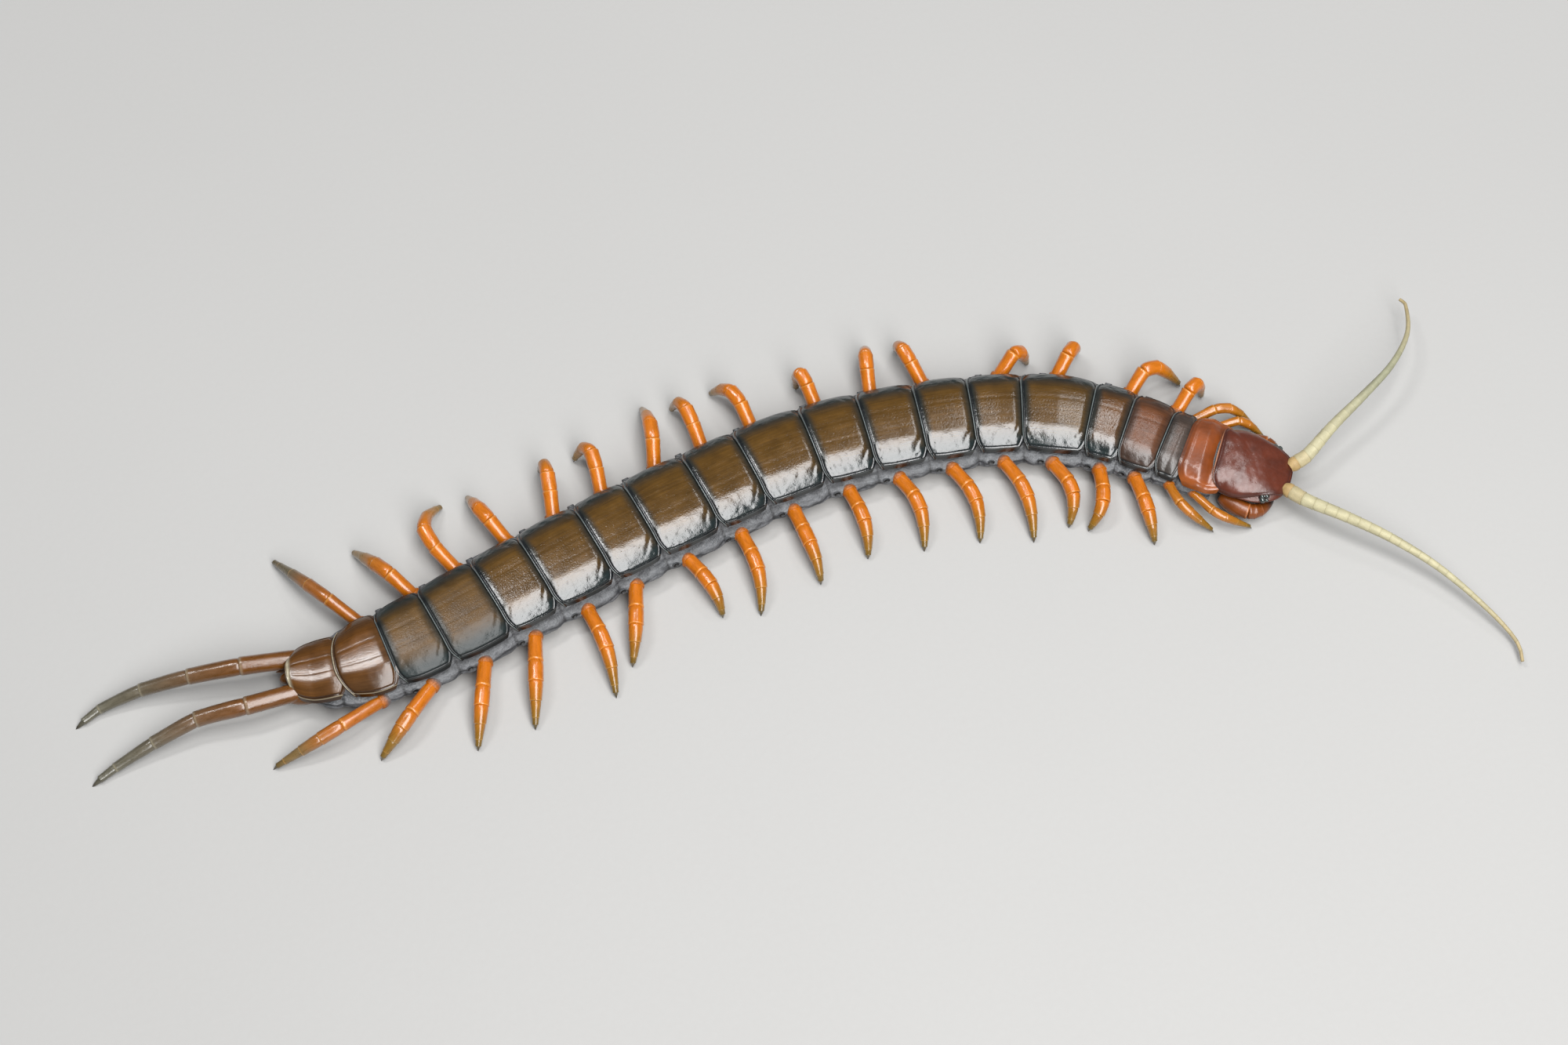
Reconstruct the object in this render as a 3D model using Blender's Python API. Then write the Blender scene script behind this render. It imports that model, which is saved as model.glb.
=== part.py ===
"""Giant centipede, a still life-size model that stands on its leg tips.

Sizes are millimetres, and MM turns them into metres where a mesh is made.
The body lies along a curved line on the floor. A place on it is written (s, u, z):
s runs back from the neck along the line, u is to the animal's left, z is up.
The head points to +X, the animal's left is +Y, and the floor is z = 0.
"""

import math

import bmesh
import bpy
import numpy as np
from mathutils import Matrix, Vector

MM = 0.001
GAP = 0.3               # clear space between two parts that touch
ORIGIN = (-3.0, 0.9)    # middle of the whole model's box, in the body's own plan
NECK = (75.1, 5.5)      # where the head meets the first plate, in the same plan

# Back plates from the neck to the tail: length, greatest width, heading in degrees
PLATES = [
    (6.1, 14.2, -30.0), (3.9, 13.3, -36.5), (6.8, 14.2, -34.5), (6.4, 14.6, -30.5),
    (11.8, 15.3, -19.0), (8.7, 15.1, -8.5), (9.0, 15.5, -3.5), (9.5, 15.7, -0.5),
    (9.6, 16.0, 3.5), (11.4, 16.2, 10.5), (9.5, 16.3, 15.5), (11.0, 16.5, 15.0),
    (9.2, 16.5, 17.0), (10.7, 16.5, 17.0), (8.9, 16.2, 18.5), (10.3, 15.9, 18.5),
    (8.8, 15.3, 15.0), (8.8, 14.3, 7.0), (8.2, 11.8, -4.0),
]
REAR_SHARE = {17: 0.90, 18: 0.80, 19: 0.48}   # rear width over greatest width, 0.91 elsewhere
TRUNK_LENGTHS = [(1, 1), (2, 3), (4, 5), (6, 7), (8, 9), (10, 11), (12, 13), (14, 15),
                 (16, 17), (18, 19)]           # first and last plate of each trunk node

BELLY = 0.9             # height of the belly above the floor
HEIGHT_SHARE = 0.5      # trunk height over plate width
RIM_HEIGHT = 0.60       # height of a plate's side edge over the height of its top
FLANK_OUT = 1.2         # how far the soft flanks bulge beyond the plates' side edges
FLANK_SHARE = {1: 0.0, 2: 0.3, 3: 0.7, 17: 0.8, 18: 0.5, 19: 0.0}   # share of that, 1 elsewhere
PLATE_STEP = 0.55       # how far each plate stands over the front of the next
ARC_POINTS = 11         # points across the top of a section

HEAD_LENGTH = 12.2
HEAD_WIDTH = 13.2
HEAD_HEADING = -30.0
HEAD_TOP = 7.8          # height of the crown above the floor
HEAD_UNDER = 3.3        # height of the underside of the head

# Walking legs, front to back. Root is a share of the plate's length from its front.
# Knee and foot are (forward, out from the plate's edge); the knee point pulls the curve.
# One leg: root, knee forward, knee out, foot forward, foot out
RIGHT_LEGS = [
    (0.52, 4.9, 3.2, 11.1, 1.5), (0.20, 3.1, 3.8, 9.7, 4.0), (0.40, 4.5, 6.3, 7.0, 9.7),
    (0.40, 3.1, 7.8, 1.1, 11.1), (0.50, 4.7, 6.7, 3.6, 11.3), (0.45, 3.9, 8.0, 3.8, 15.0),
    (0.55, 3.5, 8.1, 2.3, 14.1), (0.60, 2.7, 7.6, 1.2, 13.8), (0.60, 1.0, 8.5, -0.4, 12.6),
    (0.65, -0.3, 11.5, -1.0, 14.1), (0.70, -0.4, 9.6, -3.6, 14.6), (0.65, 1.4, 8.4, 0.7, 11.8),
    (0.70, -4.2, 8.9, -7.1, 12.4), (0.60, -0.3, 9.3, -3.0, 16.0), (0.65, -4.0, 8.5, -7.7, 14.2),
    (0.60, -4.4, 7.9, -8.1, 12.8), (0.55, -6.4, 4.8, -12.6, 7.5), (0.40, -8.3, 3.0, -20.2, 4.2),
]
LEFT_LEGS = [
    (0.42, 4.2, 2.5, 8.4, 2.0), (0.33, 4.9, 5.4, 10.2, 4.6), (0.05, 1.4, 6.5, 2.7, 6.5),
    (0.25, 1.6, 6.9, 7.7, 6.9), (0.54, 2.5, 5.9, 3.4, 8.0), (0.38, 3.7, 4.9, 5.6, 4.9),
    (0.75, -2.9, 8.2, -2.8, 10.1), (0.70, 0.7, 8.1, 1.7, 10.4), (0.65, -0.9, 7.9, -1.7, 6.6),
    (0.65, -0.2, 8.2, -3.3, 11.2), (0.50, 1.2, 10.3, -0.6, 11.3), (0.40, 3.2, 7.4, 4.1, 14.0),
    (0.35, 3.1, 10.4, -0.5, 10.4), (0.30, 4.1, 10.8, 2.7, 11.2), (0.13, -1.6, 6.6, -1.3, 13.4),
    (0.20, -3.1, 11.1, 4.3, 14.2), (0.05, -2.6, 6.0, -5.0, 14.5), (0.30, -4.9, 6.6, -10.2, 18.5),
]
ROOT_HEIGHT = 3.3       # height of the leg roots above the floor
ROOT_SUNK = 0.4         # how far the leg roots lie inside the widest part of the flank
RIGHT_KNEE = 4.8        # height of the point that pulls the right legs' curve
LEFT_KNEE = 7.4         # the far legs stand more steeply, with higher knees
LOW_KNEES = {"left": {1: 4.4, 2: 5.6}, "right": {1: 4.2}}
LEG_RADIUS = 1.25       # at the root, on the widest plates
LEG_GIRTH = {1: 0.64, 2: 0.72, 18: 0.92}    # thinner legs, 1 elsewhere
FOOT_RADIUS = 0.3
FOOT_DROP = 0.5         # the last stretch of a foot is upright, so that it ends in a flat
# Share of a leg's length and of its root radius at each ring, swollen between the joints
LEG_RINGS = [(0.0, 0.98), (0.17, 1.02), (0.30, 1.05), (0.42, 1.04), (0.52, 0.96), (0.64, 0.86),
             (0.76, 0.68), (0.90, 0.48)]

# Last legs, which trail behind: points in plan relative to the tail's end, with heights
RIGHT_TRAILING = [(-7.0, -3.9, 4.8), (-14.9, -3.9, 4.0), (-22.7, -5.8, 2.5), (-29.4, -8.1, 1.2)]
LEFT_TRAILING = [(-7.0, 3.4, 4.8), (-14.9, 3.9, 4.0), (-23.6, 4.0, 2.5), (-30.4, 3.0, 1.2)]
TRAILING_TIPS = {"right": (-34.1, -10.3), "left": (-35.5, 0.5)}
TRAILING_ROOT = (3.1, 4.3)          # out from the midline, and height
TRAILING_RADIUS = 1.5
TRAILING_RINGS = [(0.0, 1.02), (0.12, 1.03), (0.235, 0.98), (0.33, 0.94), (0.45, 0.86), (0.56, 0.82),
                  (0.67, 0.74), (0.75, 0.66), (0.85, 0.56), (0.93, 0.46)]

# Feelers: points in plan with heights, after the root on the front of the head
RIGHT_FEELER = [(86.8, -5.6, 5.5), (92.6, -10.5, 5.8), (99.0, -16.0, 5.2), (105.2, -22.7, 4.2),
                (110.8, -31.1, 2.9), (113.7, -37.0, 1.8), (113.6, -40.6, 1.3)]
LEFT_FEELER = [(89.5, 2.9, 5.5), (95.0, 6.7, 6.8), (101.9, 11.0, 7.6), (108.4, 15.7, 7.4),
               (113.4, 21.7, 6.4), (115.5, 28.0, 4.8), (115.1, 29.8, 4.2)]
FEELER_ROOT = (1.95, 4.7)           # out from the midline, and height
FEELER_RADIUS = 1.15
FEELER_TIP = 0.28
FEELER_ARTICLES = 18

# Poison claws: (forward of the neck, out, height, radius) from root to tip
CLAW_PATH = [(1.7, 5.4, 2.3, 1.2), (3.0, 6.6, 2.4, 1.4), (4.8, 7.0, 2.4, 1.45), (6.4, 6.9, 2.3, 1.3),
             (7.8, 6.3, 2.05, 1.2), (9.0, 5.1, 1.75, 0.95), (9.8, 3.5, 1.5, 0.65), (10.1, 1.9, 1.4, 0.25)]
CLAW_PLATE = (5.2, 4.6, 3.0)        # length, half width at the rear and top of the plate below
EYE = (8.5, 4.9, 4.8)             # forward of the neck, out, height
EYE_LOOKS = (0.35, 0.75, 0.55)      # forward, out and up parts of the direction an eye patch faces
EYE_RADIUS = 0.95
OCELLI = [(0.42, 0.36), (-0.40, 0.38), (0.36, -0.40), (-0.44, -0.34)]
OCELLUS_RADIUS = 0.36

SIDES = {"right": -1, "left": 1}
COLOURS = {                          # base colour, roughness
    "olive": ((0.10, 0.065, 0.02), 0.25),
    "red_brown": ((0.13, 0.035, 0.015), 0.2),
    "orange": ((0.75, 0.23, 0.015), 0.3),
    "cream": ((0.62, 0.53, 0.38), 0.4),
    "black": ((0.02, 0.03, 0.03), 0.1),
}


def clear_scene():
    for thing in list(bpy.data.objects):
        bpy.data.objects.remove(thing, do_unlink=True)


def new_collection(name):
    group = bpy.data.collections.new(name)
    bpy.context.scene.collection.children.link(group)
    return group


def material(name):
    colour, rough = COLOURS[name]
    mat = bpy.data.materials.get(name)
    if mat is None:
        mat = bpy.data.materials.new(name)
        mat.use_nodes = True
        shader = mat.node_tree.nodes["Principled BSDF"]
        shader.inputs["Base Color"].default_value = (*colour, 1.0)
        shader.inputs["Roughness"].default_value = rough
    return mat


def body_line():
    """Stations, headings and plan of the line that the body lies on."""
    step = 0.1
    ends = np.concatenate([[0.0], np.cumsum([p[0] for p in PLATES])])
    middles = (ends[1:] + ends[:-1]) / 2
    stations = np.arange(-20.0, ends[-1] + 20.0, step)
    turns = [HEAD_HEADING] + [p[2] for p in PLATES]
    heading = np.radians(np.interp(stations, [-HEAD_LENGTH / 2, *middles], turns))
    x = -np.cumsum(np.cos(heading)) * step
    y = -np.cumsum(np.sin(heading)) * step
    neck = np.argmin(abs(stations))
    return stations, heading, x - x[neck] + NECK[0], y - y[neck] + NECK[1], ends


STATIONS, HEADINGS, LINE_X, LINE_Y, PLATE_ENDS = body_line()
TAIL_END = PLATE_ENDS[-1]


def on_plan(x, y, z):
    return Vector((x - ORIGIN[0], y - ORIGIN[1], z))


def axes(s):
    """Forward and left directions of the body at station s."""
    h = float(np.interp(s, STATIONS, HEADINGS))
    return Vector((math.cos(h), math.sin(h), 0)), Vector((-math.sin(h), math.cos(h), 0))


def place(s, u, z):
    point = on_plan(float(np.interp(s, STATIONS, LINE_X)), float(np.interp(s, STATIONS, LINE_Y)), z)
    return point + axes(s)[1] * u


def new_object(name, mesh, colour, group):
    thing = bpy.data.objects.new(name, mesh)
    if colour:
        mesh.materials.append(material(colour))
    group.objects.link(thing)
    return thing


def finish_mesh(mesh):
    mesh.shade_smooth()
    mesh.set_sharp_from_angle(angle=math.radians(35))


def loft(name, rings, colour, group):
    """A closed skin over rings of equal point counts, with a flat cap at each end."""
    bm = bmesh.new()
    loops = [[bm.verts.new(p * MM) for p in ring] for ring in rings]
    count = len(loops[0])
    for a, b in zip(loops, loops[1:]):
        for i in range(count):
            j = (i + 1) % count
            bm.faces.new((a[i], a[j], b[j], b[i]))
    bm.faces.new(loops[0][::-1])
    bm.faces.new(loops[-1])
    bmesh.ops.recalc_face_normals(bm, faces=bm.faces)
    mesh = bpy.data.meshes.new(name)
    bm.to_mesh(mesh)
    bm.free()
    finish_mesh(mesh)
    return new_object(name, mesh, colour, group)


def tube(name, points, radii, colour, group, bevel_resolution=2):
    """A tube through points with its own radius at each, from a bevelled curve."""
    curve = bpy.data.curves.new(name, "CURVE")
    curve.dimensions = "3D"
    curve.bevel_depth = MM
    curve.bevel_resolution = bevel_resolution
    curve.use_fill_caps = True
    curve.twist_mode = "MINIMUM"
    spline = curve.splines.new("POLY")
    spline.points.add(len(points) - 1)
    for spot, p, r in zip(spline.points, points, radii):
        spot.co = (*(p * MM), 1.0)
        spot.radius = r
    wire = bpy.data.objects.new(name + "_curve", curve)
    group.objects.link(wire)
    ready = wire.evaluated_get(bpy.context.evaluated_depsgraph_get())
    mesh = bpy.data.meshes.new_from_object(ready)
    bpy.data.objects.remove(wire, do_unlink=True)
    mesh.name = name
    mesh.materials.clear()
    bm = bmesh.new()
    bm.from_mesh(mesh)
    bmesh.ops.remove_doubles(bm, verts=bm.verts, dist=1e-6)
    bmesh.ops.recalc_face_normals(bm, faces=bm.faces)
    bm.to_mesh(mesh)
    bm.free()
    finish_mesh(mesh)
    return new_object(name, mesh, colour, group)


def drum(name, start, direction, length, radius_in, radius_out, group, sides=8):
    """A short round piece from start along direction, for a root or a pocket."""
    bm = bmesh.new()
    bmesh.ops.create_cone(bm, cap_ends=True, segments=sides, radius1=radius_in * MM,
                          radius2=radius_out * MM, depth=length * MM)
    turn = direction.to_track_quat("Z", "Y").to_matrix().to_4x4()
    middle = (start + direction * (length / 2)) * MM
    bmesh.ops.transform(bm, matrix=Matrix.Translation(middle) @ turn, verts=bm.verts)
    mesh = bpy.data.meshes.new(name)
    bm.to_mesh(mesh)
    bm.free()
    return new_object(name, mesh, None, group)


def largest_shell(mesh):
    """Keeps only the largest connected surface of a mesh."""
    bm = bmesh.new()
    bm.from_mesh(mesh)
    left = set(bm.verts)
    shells = []
    while left:
        stack = [left.pop()]
        shell = set(stack)
        while stack:
            for edge in stack.pop().link_edges:
                for vert in edge.verts:
                    if vert in left:
                        left.discard(vert)
                        shell.add(vert)
                        stack.append(vert)
        shells.append(shell)
    shells.sort(key=len)
    for shell in shells[:-1]:
        bmesh.ops.delete(bm, geom=list(shell), context="VERTS")
    bm.to_mesh(mesh)
    bm.free()


def combine(thing, pieces, operation="UNION"):
    """Joins or cuts a group of closed meshes with one Boolean, applies it and removes them."""
    cut = thing.modifiers.new("combine", "BOOLEAN")
    cut.operation = operation
    cut.operand_type = "COLLECTION"
    cut.collection = pieces
    cut.solver = "EXACT"
    ready = thing.evaluated_get(bpy.context.evaluated_depsgraph_get())
    mesh = bpy.data.meshes.new_from_object(ready)
    thing.modifiers.remove(cut)
    mesh.materials.clear()
    mesh.materials.append(thing.data.materials[0])
    thing.data = mesh
    for piece in list(pieces.objects):
        bpy.data.objects.remove(piece, do_unlink=True)
    bpy.data.collections.remove(pieces)
    largest_shell(mesh)
    finish_mesh(mesh)


def dome(half, top, rim, power=2.4):
    """Points over a plate from its left edge to its right: out and height."""
    points = []
    for i in range(ARC_POINTS):
        side = math.cos(math.pi * i / (ARC_POINTS - 1))
        rise = (1 - abs(side) ** power) ** (1 / power)
        points.append((half * side, rim + (top - rim) * rise))
    return points


def flank_out(number):
    return FLANK_OUT * FLANK_SHARE.get(number, 1.0)


def trunk_section(width, share, lift, swell):
    """One ring round the trunk: plate, soft flanks and belly plate."""
    half = width / 2 * share
    top = BELLY + HEIGHT_SHARE * width + lift
    rim = RIM_HEIGHT * (BELLY + HEIGHT_SHARE * width) + 0.4 * lift
    flank = width / 2 + swell
    right = [(half - 0.55, rim - 0.35), (flank - 0.1, 3.7), (flank, 2.7), (flank - 1.3, 1.5),
             (0.62 * width / 2, BELLY + 0.1), (0.5 * width / 2, BELLY)]
    left = [(u, z) for u, z in right]
    return dome(half, top, rim) + [(-u, z) for u, z in right] + left[::-1]


def plate_rings(number):
    """Stations and sections of one plate from its sunken front to its raised rear."""
    length, width, _ = PLATES[number - 1]
    start = PLATE_ENDS[number - 1]
    rear = REAR_SHARE.get(number, 0.91)
    rings = [
        (0.15, 0.84, -PLATE_STEP, -1.0),
        (0.75, 0.91, -0.15, -0.7),
        (0.30 * length, 0.985, 0.0, -0.1),
    ]
    if number < 19:
        rings += [(0.62 * length, 1.0 if number < 18 else (1 + rear) / 2, 0.0, 0.0),
                  (length - 0.55, rear + 0.02, 0.05, -0.4), (length - 0.15, rear, 0.1, -0.7)]
    else:
        rings += [(0.60 * length, 0.95, 0.0, -0.6), (0.80 * length, 0.82, 0.0, -1.4),
                  (0.92 * length, 0.66, 0.05, -2.2), (length - 0.15, rear, 0.1, -3.0)]
    return [(start + along, trunk_section(width, share, lift, swell + flank_out(number)))
            for along, share, lift, swell in rings]


def ring_at(s, section):
    return [place(s, u, z) for u, z in section]


def edge_out(number):
    """Half of a plate's greatest width."""
    return PLATES[number - 1][1] / 2


def bezier(a, b, c, d, t):
    return a * (1 - t) ** 3 + b * 3 * (1 - t) ** 2 * t + c * 3 * (1 - t) * t ** 2 + d * t ** 3


def leg_frame(side, number):
    """Root, knee and foot of a walking leg."""
    row = (RIGHT_LEGS if side == "right" else LEFT_LEGS)[number - 1]
    root_share, knee_forward, knee_out, foot_forward, foot_out = row
    s = PLATE_ENDS[number - 1] + root_share * PLATES[number - 1][0]
    forward, leftward = axes(s)
    outward = leftward * SIDES[side]
    edge = place(s, SIDES[side] * edge_out(number), 0)
    knee_height = LOW_KNEES[side].get(number, RIGHT_KNEE if side == "right" else LEFT_KNEE)
    root = edge + outward * (flank_out(number) - ROOT_SUNK) + Vector((0, 0, ROOT_HEIGHT))
    knee = edge + forward * knee_forward + outward * knee_out + Vector((0, 0, knee_height))
    foot = edge + forward * foot_forward + outward * foot_out
    return root, knee, foot, outward


def leg_radius(number):
    return LEG_RADIUS * LEG_GIRTH.get(number, 1.0) * (0.8 + 0.2 * PLATES[number - 1][1] / 16.5)


def root_reach(direction, outward, radius):
    """Length of the root boss, longer where the leg leaves at a slant, so that its end is clear."""
    slant = min(0.9, math.sqrt(max(0.0, 1 - direction.dot(outward) ** 2)))
    return (0.75 + radius * slant) / math.sqrt(1 - slant ** 2)


def leg_root(side, number):
    """Place and direction of the flat end of a leg's root boss."""
    root, knee, foot, outward = leg_frame(side, number)
    direction = (knee - root).normalized()
    return root, direction, root_reach(direction, outward, leg_radius(number))


def walking_leg(side, number, group):
    root, knee, foot, _ = leg_frame(side, number)
    _, direction, reach = leg_root(side, number)
    radius = leg_radius(number)
    start = root + direction * (reach + GAP)
    ankle = foot + Vector((0, 0, FOOT_DROP))
    tight = 0.8
    pull_in = start + (knee - start) * tight
    pull_out = ankle + (knee - ankle) * tight
    points = [bezier(start, pull_in, pull_out, ankle, t) for t, _ in LEG_RINGS]
    radii = [radius * r for _, r in LEG_RINGS]
    points.insert(1, start + direction * 0.4)
    radii.insert(1, radius)
    tube(f"leg_{side}_{number:02d}", points + [ankle, foot], radii + [FOOT_RADIUS * 1.2, FOOT_RADIUS],
         "orange", group)


def smooth_path(points, count):
    """Points at even distances along a smooth curve through the given ones."""
    pts = np.array([tuple(p) for p in points])
    padded = np.vstack([2 * pts[0] - pts[1], pts, 2 * pts[-1] - pts[-2]])
    fine = []
    for i in range(len(pts) - 1):
        p0, p1, p2, p3 = padded[i:i + 4]
        for t in np.arange(0, 1, 0.05):
            fine.append(0.5 * (2 * p1 + (p2 - p0) * t + (2 * p0 - 5 * p1 + 4 * p2 - p3) * t ** 2
                               + (3 * p1 - p0 - 3 * p2 + p3) * t ** 3))
    fine = np.array(fine + [pts[-1]])
    run = np.concatenate([[0], np.cumsum(np.linalg.norm(np.diff(fine, axis=0), axis=1))])
    shares = np.linspace(0, 1, count) if np.isscalar(count) else np.array(count)
    return [Vector([float(np.interp(f * run[-1], run, fine[:, k])) for k in range(3)]) for f in shares]


def trailing_points(side):
    """Root and the points of a last leg."""
    end = place(TAIL_END, 0, 0)
    rows = RIGHT_TRAILING if side == "right" else LEFT_TRAILING
    root = place(TAIL_END - 0.5, SIDES[side] * TRAILING_ROOT[0], TRAILING_ROOT[1])
    return root, [end + Vector(row) for row in rows]


def trailing_root(side):
    root, points = trailing_points(side)
    return root, (points[0] - root).normalized(), 2.0


def trailing_leg(side, group):
    root, points = trailing_points(side)
    _, direction, reach = trailing_root(side)
    start = root + direction * (reach + GAP)
    x, y = TRAILING_TIPS[side]
    foot = place(TAIL_END, 0, 0) + Vector((x, y, 0))
    ankle = foot + Vector((0, 0, FOOT_DROP))
    spots = smooth_path([start] + points + [ankle], [f for f, _ in TRAILING_RINGS] + [1.0])
    radii = [TRAILING_RADIUS * r for _, r in TRAILING_RINGS] + [FOOT_RADIUS * 1.2, FOOT_RADIUS]
    tube(f"leg_{side}_19", spots + [foot], radii, "orange", group)


def trunk_length(index, first, last, group):
    rings = []
    for number in range(first, last + 1):
        rings += [ring_at(s, section) for s, section in plate_rings(number)]
    trunk = loft(f"trunk_{index:02d}", rings, "olive", group)
    bosses = new_collection("root bosses")
    for number in range(first, last + 1):
        for side in SIDES:
            if number == 19:
                root, direction, reach = trailing_root(side)
                drum("boss", root - direction * 3.0, direction, 3.0 + reach, TRAILING_RADIUS * 1.25,
                     TRAILING_RADIUS, bosses)
            else:
                root, direction, reach = leg_root(side, number)
                sunk = 1.6
                drum("boss", root - direction * sunk, direction, sunk + reach,
                     leg_radius(number) * 1.1, leg_radius(number), bosses)
    combine(trunk, bosses)


def head_section(along):
    """One ring of the head at a share of its length from the neck."""
    wide = 0.36
    if along < wide:
        half = HEAD_WIDTH / 2 * (1 - 0.10 * ((wide - along) / wide) ** 2)
    else:
        half = HEAD_WIDTH / 2 * (1 - ((along - wide) / (1 - wide)) ** 2.6 * 0.97) ** (1 / 2.3)
    top = HEAD_TOP - 0.5 * along - 1.7 * along ** 3
    rim = 4.8 - 0.25 * along
    under = HEAD_UNDER + 0.2 * along
    lower = [(half * 0.93, rim - 0.35), (half * 0.60, under), (half * 0.3, under)]
    return dome(half, top, rim) + [(-u, z) for u, z in lower] + lower[::-1]


def feeler_root(side):
    out, height = FEELER_ROOT
    root = place(-HEAD_LENGTH + 1.0, SIDES[side] * out, height)
    row = (RIGHT_FEELER if side == "right" else LEFT_FEELER)[0]
    return root, (on_plan(*row) - root).normalized(), 1.5


def eye_frame(side):
    forward, out, height = EYE
    s = -forward
    ahead, leftward = axes(s)
    f, o, up = EYE_LOOKS
    looks = (ahead * f + leftward * (o * SIDES[side]) + Vector((0, 0, up))).normalized()
    return place(s, SIDES[side] * out, height), looks


def head(group):
    shares = [0.012, 0.07, 0.22, 0.40, 0.56, 0.70, 0.82, 0.91, 0.97, 1.0]
    rings = [ring_at(-f * HEAD_LENGTH, head_section(f)) for f in shares]
    skull = loft("head", rings, "red_brown", group)
    sockets = new_collection("feeler sockets")
    for side in SIDES:
        root, direction, reach = feeler_root(side)
        drum("socket", root - direction * 2.0, direction, 2.0 + reach, FEELER_RADIUS * 1.15,
             FEELER_RADIUS * 1.1, sockets)
    combine(skull, sockets)
    pockets = new_collection("eye pockets")
    for side in SIDES:
        centre, looks = eye_frame(side)
        drum("pocket", centre - looks * (0.3 + GAP), looks, 4.0, EYE_RADIUS + GAP,
             EYE_RADIUS + GAP, pockets, sides=12)
    combine(skull, pockets, "DIFFERENCE")


def eye(side, group):
    centre, looks = eye_frame(side)
    patch = drum(f"eye_{side}", centre - looks * 0.3, looks, 0.75, EYE_RADIUS, EYE_RADIUS * 0.9, group,
                 sides=12)
    patch.data.materials.append(material("black"))
    turn = looks.to_track_quat("Z", "Y").to_matrix()
    beads = new_collection("ocelli")
    for x, y in OCELLI:
        spot = centre + looks * 0.42 + turn @ Vector((x, y, 0))
        bm = bmesh.new()
        bmesh.ops.create_icosphere(bm, subdivisions=1, radius=OCELLUS_RADIUS * MM)
        bmesh.ops.translate(bm, vec=spot * MM, verts=bm.verts)
        mesh = bpy.data.meshes.new("ocellus")
        bm.to_mesh(mesh)
        bm.free()
        new_object("ocellus", mesh, None, beads)
    combine(patch, beads)


def feeler(side, group):
    root, direction, reach = feeler_root(side)
    rows = RIGHT_FEELER if side == "right" else LEFT_FEELER
    start = root + direction * (reach + GAP)
    spots = smooth_path([start] + [on_plan(*row) for row in rows], FEELER_ARTICLES + 1)
    radii = []
    for i in range(FEELER_ARTICLES + 1):
        share = i / FEELER_ARTICLES
        radii.append(FEELER_TIP + (FEELER_RADIUS - FEELER_TIP) * (1 - share) ** 1.15)
    spots.insert(1, start + direction * 0.4)
    radii.insert(1, radii[0])
    tube(f"antenna_{side}", spots, radii, "cream", group)


def claw_points(side):
    return [place(-forward, SIDES[side] * out, z) for forward, out, z, _ in CLAW_PATH]


def claw_root(side):
    points = claw_points(side)
    return points[0], (points[1] - points[0]).normalized()


def poison_claw(side, group):
    points = claw_points(side)
    root, direction = claw_root(side)
    points[0] = root + direction * GAP
    radii = [r for _, _, _, r in CLAW_PATH]
    tube(f"forcipule_{side}", points, radii, "red_brown", group)


def claw_plate(group):
    """The plate under the head that carries the poison claws."""
    length, half, top = CLAW_PLATE
    rings = []
    for along, share, drop in [(0.05, 0.95, 0.0), (0.3, 1.0, 0.0), (0.62, 0.78, 0.1), (0.88, 0.58, 0.3),
                               (1.0, 0.42, 0.7)]:
        w = half * share
        section = [(w, 2.2), (w * 0.8, top - drop), (0, top - drop), (-w * 0.8, top - drop), (-w, 2.2),
                   (-w * 0.85, BELLY + 0.2), (0, BELLY), (w * 0.85, BELLY + 0.2)]
        rings.append(ring_at(-along * length, section))
    plate = loft("forcipule_plate", rings, "red_brown", group)
    bosses = new_collection("claw roots")
    for side in SIDES:
        root, direction = claw_root(side)
        drum("boss", root - direction, direction, 1.0, 1.15, 1.15, bosses)
    combine(plate, bosses)


def main():
    clear_scene()
    group = new_collection("giant_centipede")
    head(group)
    claw_plate(group)
    for index, (first, last) in enumerate(TRUNK_LENGTHS, start=1):
        trunk_length(index, first, last, group)
    for side in SIDES:
        eye(side, group)
        feeler(side, group)
        poison_claw(side, group)
        for number in range(1, 19):
            walking_leg(side, number, group)
        trailing_leg(side, group)


main()
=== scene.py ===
"""Looks of the giant centipede: shells, skin, legs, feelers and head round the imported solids.

Sizes are millimetres, and MM turns them into metres where a mesh is made. A place on the
body is written (s, u, z): s runs back from the neck along the body's line, u is to the
animal's left, z is up. The head points to +X and the floor is z = 0.
"""

import math

import bmesh
import bpy
import numpy as np
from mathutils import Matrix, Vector


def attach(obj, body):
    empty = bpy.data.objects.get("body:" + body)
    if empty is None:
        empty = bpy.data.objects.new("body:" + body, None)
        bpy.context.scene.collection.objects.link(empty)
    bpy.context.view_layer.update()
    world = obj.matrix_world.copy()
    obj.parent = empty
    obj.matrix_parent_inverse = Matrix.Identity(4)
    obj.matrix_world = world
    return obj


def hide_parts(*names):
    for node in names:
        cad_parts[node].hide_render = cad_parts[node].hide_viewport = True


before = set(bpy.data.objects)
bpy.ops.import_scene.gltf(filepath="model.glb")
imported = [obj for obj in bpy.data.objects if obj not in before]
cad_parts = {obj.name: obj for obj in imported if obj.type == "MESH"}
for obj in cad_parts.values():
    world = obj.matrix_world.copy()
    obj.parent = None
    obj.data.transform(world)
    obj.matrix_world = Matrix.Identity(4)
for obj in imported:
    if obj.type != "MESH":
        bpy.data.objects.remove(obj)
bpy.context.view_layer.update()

MM = 0.001
GAP = 0.3               # between the trunk's solid and the limbs' own
ORIGIN = (-3.0, 0.9)
NECK = (75.1, 5.5)

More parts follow.
